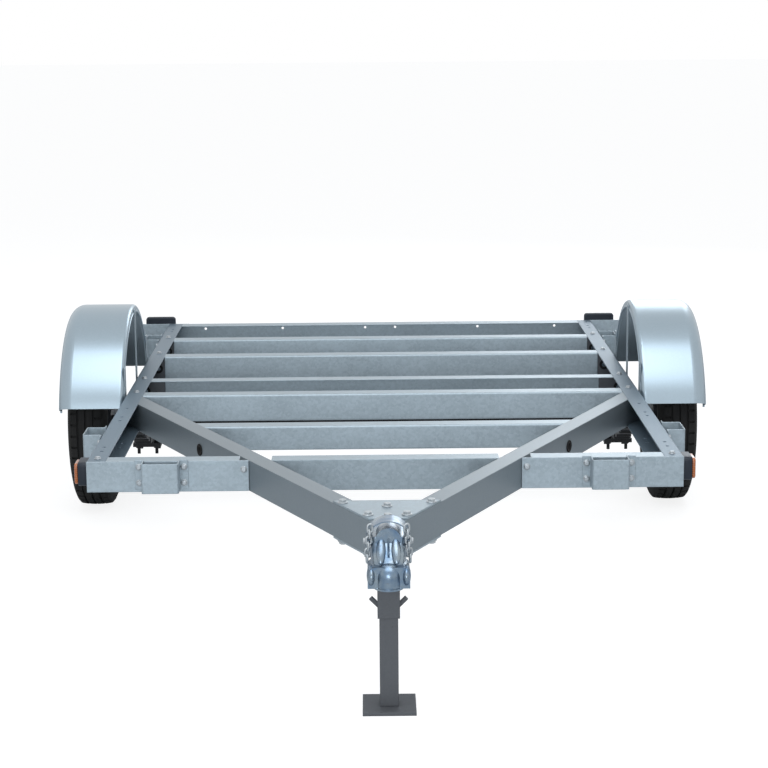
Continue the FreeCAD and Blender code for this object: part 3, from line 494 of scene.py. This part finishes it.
def rounded_block(low, high, axis, radius, edge, name):
    """Moulded block whose four edges along one axis are well rounded, and the others a little."""
    low, high = Vector(low), Vector(high)
    bpy.ops.object.select_all(action="DESELECT")
    bpy.ops.mesh.primitive_cube_add(size=1, location=(low + high)/2)
    block = bpy.context.object
    block.scale = high - low
    settle(block, name)
    bpy.ops.object.mode_set(mode="EDIT")
    bpy.ops.mesh.select_all(action="DESELECT")
    bpy.ops.mesh.select_mode(type="EDGE")
    bpy.ops.object.mode_set(mode="OBJECT")
    points = block.data.vertices
    for side in block.data.edges:
        run = points[side.vertices[0]].co - points[side.vertices[1]].co
        side.select = abs(run[axis]) > run.length*0.99
    bpy.ops.object.mode_set(mode="EDIT")
    bpy.ops.mesh.bevel(offset=radius, segments=6, affect="EDGES")
    bpy.ops.object.mode_set(mode="OBJECT")
    return smooth(bevelled(block, edge, 2), 40)


def sunk_face(piece, test, rim, depth):
    """Inset the faces that pass a test and press what is inside the rim along their normals."""
    pick(piece)
    select_faces(piece, test)
    bpy.ops.mesh.inset(thickness=rim)
    bpy.ops.mesh.extrude_region_shrink_fatten(TRANSFORM_OT_shrink_fatten={"value": depth})
    bpy.ops.object.mode_set(mode="OBJECT")
    return piece


# ---------------------------------------------------------------- pieces

class TRAILER_OT_finishes(bpy.types.Operator):
    """Give every frame node its procedural finish"""
    bl_idname = "trailer.finishes"
    bl_label = "Finishes"

    def execute(self, context):
        make_finishes()
        slots = {part["node"]: part["material_slot"] for part in frame["record"]["subparts"]}
        for node, piece in frame["nodes"].items():
            piece.data.materials.clear()
            piece.data.materials.append(FINISHES[NODE_FINISHES.get(node, slots[node])])
        return {"FINISHED"}


class TRAILER_OT_stage(bpy.types.Operator):
    """Pale floor, soft studio lights and the camera"""
    bl_idname = "trailer.stage"
    bl_label = "Stage"

    def execute(self, context):
        bpy.ops.object.select_all(action="DESELECT")
        bpy.ops.mesh.primitive_plane_add(size=60, location=(0, 12, 0))
        floor = settle(context.object, "floor")
        floor.data.materials.append(stage_paper())
        sky()
        area_light("overhead", (0.0, -1.85, 4.5), (0, 0.0, 0.3), 3.7, 128)
        area_light("front", (-0.8, -10.5, 2.6), (0, 0, 0.35), 3.2, 240)
        area_light("tail", (1.8, 5.5, 2.8), (0, 0.5, 0.4), 2.6, 60)
        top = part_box("side_rail_left")[1][2]
        bpy.ops.object.camera_add(location=(-0.0343, FRONT - 4.8515, top + 1.1582))
        camera = context.object
        view = Matrix.Rotation(math.radians(-0.384), 3, "Z") @ Matrix.Rotation(
            math.radians(90 - 11.228), 3, "X") @ Matrix.Rotation(math.radians(-0.465), 3, "Z")
        camera.rotation_euler = view.to_euler()
        camera.data.sensor_width = 36
        camera.data.lens = 91.75
        context.scene.camera = camera
        context.scene.view_settings.view_transform = "Standard"
        return {"FINISHED"}


def area_light(name, place, aim, size, power):
    """Soft square lamp that points at a spot."""
    bpy.ops.object.light_add(type="AREA", location=place)
    lamp = bpy.context.object
    lamp.name = name
    lamp.data.size, lamp.data.energy = size, power
    lamp.data.color = (0.89, 0.95, 1.0)
    lamp.rotation_euler = (Vector(aim) - Vector(place)).to_track_quat("-Z", "Y").to_euler()
    return lamp


def backdrop_seen(tree):
    """Factor that is 1 where the camera, a reflection or glass looks straight at the backdrop."""
    path = tree.nodes.new("ShaderNodeLightPath")
    total = path.outputs["Is Camera Ray"]
    for name in ("Is Glossy Ray", "Is Transmission Ray"):
        add = tree.nodes.new("ShaderNodeMath")
        add.operation, add.use_clamp = "ADD", True
        tree.links.new(total, add.inputs[0])
        tree.links.new(path.outputs[name], add.inputs[1])
        total = add.outputs[0]
    return total


def sky():
    """Even pale light all round, pure white where the camera or a reflection sees it."""
    world = bpy.context.scene.world or bpy.data.worlds.new("studio")
    bpy.context.scene.world = world
    world.use_nodes = True
    tree = world.node_tree
    tree.nodes.clear()
    out = tree.nodes.new("ShaderNodeOutputWorld")
    plain = tree.nodes.new("ShaderNodeBackground")
    white = tree.nodes.new("ShaderNodeBackground")
    mix = tree.nodes.new("ShaderNodeMixShader")
    plain.inputs["Color"].default_value = (0.90, 0.95, 1, 1)
    plain.inputs["Strength"].default_value = 0.40
    white.inputs["Color"].default_value = (1, 1, 1, 1)
    white.inputs["Strength"].default_value = 1.0
    tree.links.new(backdrop_seen(tree), mix.inputs["Fac"])
    tree.links.new(plain.outputs[0], mix.inputs[1])
    tree.links.new(white.outputs[0], mix.inputs[2])
    tree.links.new(mix.outputs[0], out.inputs["Surface"])


def stage_paper():
    """White studio paper that keeps the object's shadow."""
    finish = Finish("studio_paper", roughness=0.9)
    tree = finish.tree
    tooth = finish.noise(40.0)
    finish.bump(tooth, 0.02, 0.001)
    finish.paint(Base_Color=finish.blend(tooth, (0.84, 0.84, 0.84, 1), (0.88, 0.88, 0.88, 1)))
    glow = tree.nodes.new("ShaderNodeEmission")
    glow.inputs["Strength"].default_value = 1.3
    path = tree.nodes.new("ShaderNodeLightPath")
    share = tree.nodes.new("ShaderNodeMath")
    share.operation = "MULTIPLY"
    share.inputs[1].default_value = 0.65
    mix = tree.nodes.new("ShaderNodeMixShader")
    tree.links.new(path.outputs["Is Camera Ray"], share.inputs[0])
    tree.links.new(share.outputs[0], mix.inputs["Fac"])
    tree.links.new(finish.surface.outputs[0], mix.inputs[1])
    tree.links.new(glow.outputs[0], mix.inputs[2])
    tree.links.new(mix.outputs[0], tree.nodes["Material Output"].inputs["Surface"])
    return finish.material


class TRAILER_OT_bolts(bpy.types.Operator):
    """Hexagon bolts of the stake pockets, rails, gusset plates and brackets"""
    bl_idname = "trailer.bolts"
    bl_label = "Bolts"

    def execute(self, context):
        sizes = context.scene.trailer_sizes
        small, large = sizes.small_bolt_radius, sizes.bolt_radius
        for radius, places, name in ((small, pocket_bolts(), "pocket_bolts"),
                                     (large, plate_bolts(), "plate_bolts"),
                                     (small, corner_bolts() + rail_bolts(), "rail_bolts")):
            dress(copies(hex_bolt(radius), places, name), "zinc_plate", finish="bolt_zinc")
        return {"FINISHED"}


def pocket_bolts():
    """Four bolts through the flanges of each stake pocket."""
    places = []
    inset, lift, wall = 0.011, 0.018, 0.0025  # from the flange's edge and the pocket's end; its steel
    for side in SIGNS:
        low, high = (Vector(corner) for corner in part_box(f"stake_pocket_front_{side}"))
        for x in (low.x + inset, high.x - inset):
            for z in (low.z + lift, high.z - lift):
                places.append(((x, high.y - wall, z), (0, -1, 0)))
        for end in ("fore", "aft"):
            low, high = (Vector(corner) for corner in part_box(f"stake_pocket_{end}_{side}"))
            face = high.x - wall if side == "left" else low.x + wall
            for y in (low.y + inset, high.y - inset):
                for z in (low.z + lift, high.z - lift):
                    places.append(((face, y, z), (SIGNS[side], 0, 0)))
    return places


def plate_bolts():
    """Heads on the upper gusset plate and the same pattern under the lower one."""
    places = []
    top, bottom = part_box("tongue_plate_top"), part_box("tongue_plate_bottom")
    for x, ahead in PLATE_BOLTS:
        places.append(((x, top[1][1] - ahead, top[1][2]), (0, 0, 1)))
        places.append(((x, top[1][1] - ahead, bottom[0][2]), (0, 0, -1)))
    return places


def corner_bolts():
    """Bolts where the arms meet the front rail, and on the rear corners."""
    places = []
    for sign in SIGNS.values():
        places.append(((sign*ARM_BOLT_X, FRONT, ARM_BOLT_Z), (0, -1, 0)))
        for z in TAIL_BOLT_HEIGHTS:
            places.append(((sign*TAIL_BOLT_X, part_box("rear_rail")[1][1], z), (0, 1, 0)))
    return places


def rail_bolts():
    """Bright bolts in the side rails' top flanges, and those of the cleats on their webs."""
    places = []
    for side, sign in SIGNS.items():
        low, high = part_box(f"side_rail_{side}")
        for setback in RAIL_BOLT_SETBACKS:
            places.append(((sign*RAIL_BOLT_X, FRONT + setback, high[2]), (0, 0, 1)))
        face = low[0] if side == "left" else high[0]
        for number in range(1, 5):
            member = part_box(f"cross_member_{number}")
            near = member[1][1] - CLEAT_LEG_MIDDLE if number == 2 else member[0][1] + CLEAT_LEG_MIDDLE
            for z in CLEAT_BOLT_HEIGHTS:
                places.append(((face, near, z), (sign, 0, 0)))
    return places


class TRAILER_OT_running_gear(bpy.types.Operator):
    """Nuts under the axle clamps, spring bolts and leaf clips"""
    bl_idname = "trailer.running_gear"
    bl_label = "Running gear"

    def execute(self, context):
        sizes = context.scene.trailer_sizes
        nuts, bolts = [], []
        for side in SIGNS:
            low, high = (Vector(corner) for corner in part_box(f"axle_clamp_{side}"))
            middle = (low + high)/2
            plate_low = low.z + CLAMP_TAIL
            for x in (-CLAMP_ROD_X, CLAMP_ROD_X):
                for y in (-CLAMP_ROD_Y, CLAMP_ROD_Y):
                    nuts.append(((middle.x + x, middle.y + y, plate_low), (0, 0, -1)))
            low, high = (Vector(corner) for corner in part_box(f"spring_hanger_{side}"))
            eye = low.z + EYE_LIFT
            for y in (low.y + EYE_FROM_END, high.y - EYE_FROM_END):
                bolts.append(((low.x, y, eye), (-1, 0, 0)))
                bolts.append(((high.x, y, eye), (1, 0, 0)))
        dress(copies(hex_bolt(sizes.bolt_radius), nuts, "clamp_nuts"), "black_paint")
        dress(copies(hex_bolt(sizes.bolt_radius*1.15), bolts, "spring_bolts"), "black_paint")
        clips = []
        for side in SIGNS:
            low, high = (Vector(corner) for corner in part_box(f"leaf_spring_{side}"))
            middle = (low + high)/2
            for along in (-CLIP_ALONG, CLIP_ALONG):
                top = LEAF_SEAT + along**2/LEAF_DIAMETER
                clips.append(rounded_block(
                    (low.x - 0.003, middle.y + along - 0.011, top - 0.026),
                    (high.x + 0.003, middle.y + along + 0.011, top + 0.006), 1, 0.006, 0.001,
                    "leaf_clip"))
        dress(smooth(joined(clips, "leaf_clips"), 40), "black_paint")
        return {"FINISHED"}


class TRAILER_OT_tyres(bpy.types.Operator):
    """Tyres with a grooved tread, notched shoulders and stepped side walls"""
    bl_idname = "trailer.tyres"
    bl_label = "Tyres"

    def execute(self, context):
        depth = context.scene.trailer_sizes.tread_depth
        for side, centre in WHEELS.items():
            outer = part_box(f"tyre_{side}")[1][2] - centre.z
            tyre = turned(tyre_profile(outer, depth), 240, f"{side}_tyre_tread", closed=True)
            pick(tyre)
            select_faces(tyre, lambda face: tread_notch(face, outer))
            bpy.ops.mesh.extrude_region_shrink_fatten(
                TRANSFORM_OT_shrink_fatten={"value": -depth*0.8})
            bpy.ops.object.mode_set(mode="OBJECT")
            facing(tyre, centre, (SIGNS[side], 0, 0))
            dress(smooth(tyre, 28), "tyre", f"wheel_{side}")
            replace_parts(tyre, f"tyre_{side}")
        return {"FINISHED"}


def tyre_profile(outer, depth):
    """Height across the wheel and radius of each ring, from the inner bead to the outer and back."""
    half = [(0.0475, 0.1530), (0.0475, 0.1668), (0.0505, 0.1690), (0.0550, 0.1780), (0.0576, 0.1900),
            (0.0582, 0.1915), (0.0588, 0.2050), (0.0590, 0.2140), (0.0588, 0.2200), (0.0592, 0.2212),
            (0.0592, 0.2238), (0.0584, 0.2252), (0.0572, 0.2360), (0.0545, 0.2470), (0.0505, 0.2560),
            (0.0455, outer - 0.0045), (0.0440, outer - 0.0036), (0.0270, outer - 0.0012),
            (0.0262, outer - 0.0020), (0.0252, outer - depth), (0.0218, outer - depth),
            (0.0208, outer - 0.0018), (0.0200, outer - 0.0009), (0.0034, outer - 0.0001),
            (0.0027, outer - 0.0008), (0.0017, outer - depth)]
    profile = [(-height, radius) for height, radius in half] + half[::-1]
    return profile + [profile[0]]


def tread_notch(face, outer):
    """Whether a face lies in one of the notches cut across the outer ribs."""
    middle = face.center
    step = round(math.degrees(math.atan2(middle.y, middle.x))/1.5 - 0.5)
    lean = 0 if middle.z > 0 else 2
    radius = math.hypot(middle.x, middle.y)
    on_rib = 0.026 < abs(middle.z) < 0.052 and radius > outer - 0.012
    return on_rib and (step + lean) % 5 == 0 and abs(face.normal.z) < 0.75


class TRAILER_OT_wheel_trim(bpy.types.Operator):
    """Wheel nuts, hub caps and tyre valves"""
    bl_idname = "trailer.wheel_trim"
    bl_label = "Wheel trim"

    def execute(self, context):
        sizes = context.scene.trailer_sizes
        for side, centre in WHEELS.items():
            sign, body = SIGNS[side], f"wheel_{side}"
            face = centre.x + sign*DISC_FACE
            places = []
            for number in range(STUD_COUNT):
                angle = math.radians(360/STUD_COUNT*number)
                places.append(((face, centre.y + STUD_CIRCLE*math.sin(angle),
                                centre.z + STUD_CIRCLE*math.cos(angle)), (sign, 0, 0)))
            dress(copies(wheel_nut(sizes.nut_radius), places, f"{side}_wheel_nuts"), "zinc_plate", body)
            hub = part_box(f"hub_{side}")
            end = hub[0][0] if side == "left" else hub[1][0]
            cap = turned([(-0.012, 0.0352), (0.000, 0.0352), (0.0015, 0.0345), (0.0020, 0.0325),
                          (0.0050, 0.0315), (0.0085, 0.0270), (0.0105, 0.0190), (0.0112, 0.0100),
                          (0.0114, 0.0030)], 48, f"{side}_hub_cap")
            dress(smooth(facing(cap, (end, centre.y, centre.z), (sign, 0, 0)), 30), "zinc_plate", body)
            stem = turned([(0, 0.0060), (0.006, 0.0058), (0.008, 0.0044), (0.022, 0.0040),
                           (0.0225, 0.0047), (0.031, 0.0047), (0.0325, 0.0036)], 20, f"{side}_valve")
            spot = (face, centre.y + VALVE_CIRCLE*math.sin(VALVE_ANGLE),
                    centre.z + VALVE_CIRCLE*math.cos(VALVE_ANGLE))
            dress(smooth(facing(stem, spot, (sign, 0, 0.35)), 35), "tyre", body)
        return {"FINISHED"}


def wheel_nut(radius):
    """Acorn nut: hexagon with a chamfer and a domed end."""
    bpy.ops.object.select_all(action="DESELECT")
    bpy.ops.mesh.primitive_cylinder_add(vertices=6, radius=radius, depth=radius, location=(0, 0, radius/2))
    body = bevelled(settle(bpy.context.object, "hexagon"), radius*0.08, 2)
    dome = turned([(radius*0.9, radius*0.84), (radius*1.15, radius*0.80), (radius*1.4, radius*0.62),
                   (radius*1.55, radius*0.36), (radius*1.6, radius*0.1)], 24, "dome")
    return smooth(joined([body, dome], "wheel_nut"), 35)


class TRAILER_OT_lamps(bpy.types.Operator):
    """Tail lamps and side markers with rounded housings and stepped lenses"""
    bl_idname = "trailer.lamps"
    bl_label = "Lamps"

    def execute(self, context):
        for side, sign in SIGNS.items():
            low, high = (Vector(corner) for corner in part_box(f"lamp_base_{side}"))
            body = rounded_block(low, high, 1, 0.010, 0.0022, f"{side}_lamp_housing")
            sunk_face(body, lambda face: face.normal.y < -0.99 and face.area > 0.002, 0.006, -0.003)
            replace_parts(dress(smooth(body, 30), "black_plastic"), f"lamp_base_{side}")
            low, high = (Vector(corner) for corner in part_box(f"lamp_lens_{side}"))
            glass = rounded_block(low, high, 1, 0.010, 0.0035, f"{side}_lamp_glass")
            sunk_face(glass, lambda face: face.normal.y > 0.99 and face.area > 0.002, 0.006, -0.0018)
            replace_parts(dress(smooth(glass, 30), "red_lens"), f"lamp_lens_{side}")
            low, high = (Vector(corner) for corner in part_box(f"marker_base_{side}"))
            body = rounded_block(low, high, 0, 0.010, 0.002, f"{side}_marker_housing")
            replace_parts(dress(smooth(body, 30), "black_plastic"), f"marker_base_{side}")
            low, high = (Vector(corner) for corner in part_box(f"marker_lens_{side}"))
            glass = rounded_block(low, high, 0, 0.009, 0.003, f"{side}_marker_glass")
            sunk_face(glass, lambda face, out=sign: face.normal.x*out > 0.99 and face.area > 0.001,
                      0.005, -0.0014)
            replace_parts(dress(smooth(glass, 30), "amber_lens"), f"marker_lens_{side}")
        return {"FINISHED"}


class TRAILER_OT_coupler(bpy.types.Operator):
    """Coupler's bolts and the safety chains beside it"""
    bl_idname = "trailer.coupler"
    bl_label = "Coupler"

    def execute(self, context):
        sizes = context.scene.trailer_sizes
        lever_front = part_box("coupler_lever")[0][1]
        bolts = []
        for sign in SIGNS.values():
            bolts.append(((sign*LEVER_FACE, lever_front + PIN_BACK, PIN_HEIGHT), (sign, 0, 0)))
            for back in SADDLE_BOLT_BACKS:
                bolts.append(((sign*SADDLE_FACE, lever_front + back, SADDLE_BOLT_HEIGHT), (sign, 0, 0)))
        dress(copies(hex_bolt(sizes.small_bolt_radius), bolts, "coupler_bolts"), "zinc_plate",
              finish="bolt_zinc")
        dress(smooth(coupler_lobes(lever_front), 60), "zinc_plate")
        links = []
        for sign in SIGNS.values():
            for number in range(6):
                turn = math.radians(20 + 80*(number % 2))
                link = chain_link(sizes.link_wire)
                link.matrix_world = Matrix.Translation(
                    (sign*(0.0400 + 0.0014*number), lever_front - 0.007, 0.436 - 0.0135*number)
                ) @ Matrix.Rotation(turn, 4, "Z") @ Matrix.Rotation(math.radians(90), 4, "X")
                links.append(link)
        dress(smooth(joined(links, "safety_chains"), 60), "zinc_plate", finish="bolt_zinc")
        return {"FINISHED"}


def coupler_lobes(back):
    """Pressed lobes that run down the throat beside the slot, and the skirt's rounded cheeks."""
    lobes = []
    for sign in SIGNS.values():
        bpy.ops.object.select_all(action="DESELECT")
        bpy.ops.mesh.primitive_uv_sphere_add(segments=32, ring_count=20, radius=1,
                                             location=(sign*0.0165, back - 0.0185, 0.3880))
        lobe = bpy.context.object
        lobe.scale = (0.0105, 0.0085, 0.0330)
        lobe.rotation_euler = (math.radians(-41), 0, sign*math.radians(3))
        lobes.append(settle(lobe, "lobe"))
        bpy.ops.object.select_all(action="DESELECT")
        bpy.ops.mesh.primitive_uv_sphere_add(segments=32, ring_count=20, radius=1,
                                             location=(sign*0.0380, back - 0.036, 0.3390))
        cheek = bpy.context.object
        cheek.scale = (0.0100, 0.0300, 0.0230)
        lobes.append(settle(cheek, "cheek"))
    pressed = joined(lobes, "coupler_lobes")
    pick(pressed)
    skin = pressed.modifiers.new("skin", "REMESH")
    skin.mode, skin.voxel_size = "VOXEL", 0.0013
    bpy.ops.object.modifier_apply(modifier=skin.name)
    soften = pressed.modifiers.new("soften", "SMOOTH")
    soften.iterations, soften.factor = 6, 0.5
    bpy.ops.object.modifier_apply(modifier=soften.name)
    return pressed


def chain_link(wire):
    """Oval link whose length lies along Y before it is turned."""
    bpy.ops.object.select_all(action="DESELECT")
    bpy.ops.mesh.primitive_torus_add(major_segments=28, minor_segments=10, major_radius=0.0056,
                                     minor_radius=wire)
    link = settle(bpy.context.object, "link")
    for sign in (-1, 1):
        bpy.ops.object.mode_set(mode="EDIT")
        bpy.ops.mesh.select_mode(type="VERT")
        bpy.ops.mesh.select_all(action="DESELECT")
        bpy.ops.object.mode_set(mode="OBJECT")
        for point in link.data.vertices:
            point.select = point.co.y*sign > 0.00001
        bpy.ops.object.mode_set(mode="EDIT")
        bpy.ops.transform.translate(value=(0, sign*0.0036, 0))
        bpy.ops.object.mode_set(mode="OBJECT")
    return link


class TRAILER_OT_arm_grommets(bpy.types.Operator):
    """Rubber grommets where the lamp cable passes through the tongue arms"""
    bl_idname = "trailer.arm_grommets"
    bl_label = "Arm grommets"

    def execute(self, context):
        ring = [(-0.0055, 0.0085), (-0.0055, 0.0150), (-0.0032, 0.0160), (-0.0032, 0.0122), (0.0, 0.0122),
                (0.0, 0.0162), (0.0012, 0.0168), (0.0026, 0.0160), (0.0030, 0.0140), (0.0022, 0.0098),
                (0.0006, 0.0085), (-0.0055, 0.0085)]
        x, setback, z = ARM_HOLE
        rings = []
        for sign in SIGNS.values():
            grommet = turned(ring, 40, "arm_grommet", closed=True)
            rings.append(facing(grommet, (sign*x, FRONT + setback, z), (sign, -ARM_SLOPE, 0)))
        dress(smooth(joined(rings, "arm_grommets"), 50), "rubber")
        return {"FINISHED"}


class TRAILER_OT_fender_hems(bpy.types.Operator):
    """Rolled wire edges of the fenders"""
    bl_idname = "trailer.fender_hems"
    bl_label = "Fender hems"

    def execute(self, context):
        radius = context.scene.trailer_sizes.hem_radius
        hems = []
        for side, sign in SIGNS.items():
            low, high = (Vector(corner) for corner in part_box(f"fender_{side}"))
            centre = WHEELS[side]
            outer = high.z - centre.z
            reach = math.degrees(math.acos((low.z - centre.z)/(outer - FENDER_SKIRT)))
            for x, edge in ((low.x if side == "left" else high.x, outer - FENDER_SKIRT),
                            (high.x if side == "left" else low.x, outer - FENDER_LIP)):
                bpy.ops.object.select_all(action="DESELECT")
                bpy.ops.mesh.primitive_torus_add(major_segments=180, minor_segments=10,
                                                 major_radius=edge, minor_radius=radius)
                hem = settle(bpy.context.object, "hem")
                hem.rotation_euler = (0, math.radians(90), 0)
                inward = -sign*radius*0.4 if abs(x) > abs(centre.x) else sign*radius*0.4
                hem.location = (x + inward, centre.y, centre.z)
                settle(hem, "hem")
                select_faces(hem, lambda face: math.degrees(math.atan2(
                    abs(face.center.y - centre.y), face.center.z - centre.z)) > reach)
                bpy.ops.mesh.delete(type="FACE")
                bpy.ops.mesh.select_mode(type="VERT")
                bpy.ops.mesh.select_non_manifold()
                bpy.ops.mesh.edge_face_add()
                bpy.ops.object.mode_set(mode="OBJECT")
                hems.append(hem)
        dress(smooth(joined(hems, "fender_hems"), 50), "galvanised", finish="fender_sheet")
        return {"FINISHED"}


class TRAILER_OT_label(bpy.types.Operator):
    """Blank sticker on the front of the axle"""
    bl_idname = "trailer.label"
    bl_label = "Blank label"

    def execute(self, context):
        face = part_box("axle_beam")[0][1]
        label = rounded_block((0.395, face - 0.0008, 0.238), (0.472, face + 0.0002, 0.257), 1, 0.003,
                              0.0002, "axle_label")
        dress(label, "rim", finish="label")
        return {"FINISHED"}


class TRAILER_PT_panel(bpy.types.Panel):
    """The trailer's pieces in the sidebar"""
    bl_idname = "TRAILER_PT_panel"
    bl_label = "Utility trailer"
    bl_space_type = "VIEW_3D"
    bl_region_type = "UI"
    bl_category = "Trailer"

    def draw(self, context):
        for step in STEPS:
            self.layout.operator(step.bl_idname)


STEPS = (TRAILER_OT_finishes, TRAILER_OT_bolts, TRAILER_OT_running_gear, TRAILER_OT_tyres,
         TRAILER_OT_wheel_trim, TRAILER_OT_lamps, TRAILER_OT_coupler, TRAILER_OT_arm_grommets,
         TRAILER_OT_fender_hems, TRAILER_OT_label, TRAILER_OT_stage)
CLASSES = (TrailerFinish, TrailerSizes, *STEPS, TRAILER_PT_panel)


def register():
    for kind in CLASSES:
        bpy.utils.register_class(kind)
    bpy.types.Scene.trailer_finish = bpy.props.PointerProperty(type=TrailerFinish)
    bpy.types.Scene.trailer_sizes = bpy.props.PointerProperty(type=TrailerSizes)


def unregister():
    del bpy.types.Scene.trailer_finish
    del bpy.types.Scene.trailer_sizes
    for kind in reversed(CLASSES):
        bpy.utils.unregister_class(kind)


def main():
    """Register the add-on, then make every piece in order."""
    register()
    for step in STEPS:
        group, name = step.bl_idname.split(".")
        getattr(getattr(bpy.ops, group), name)()


if __name__ == "__main__":
    main()
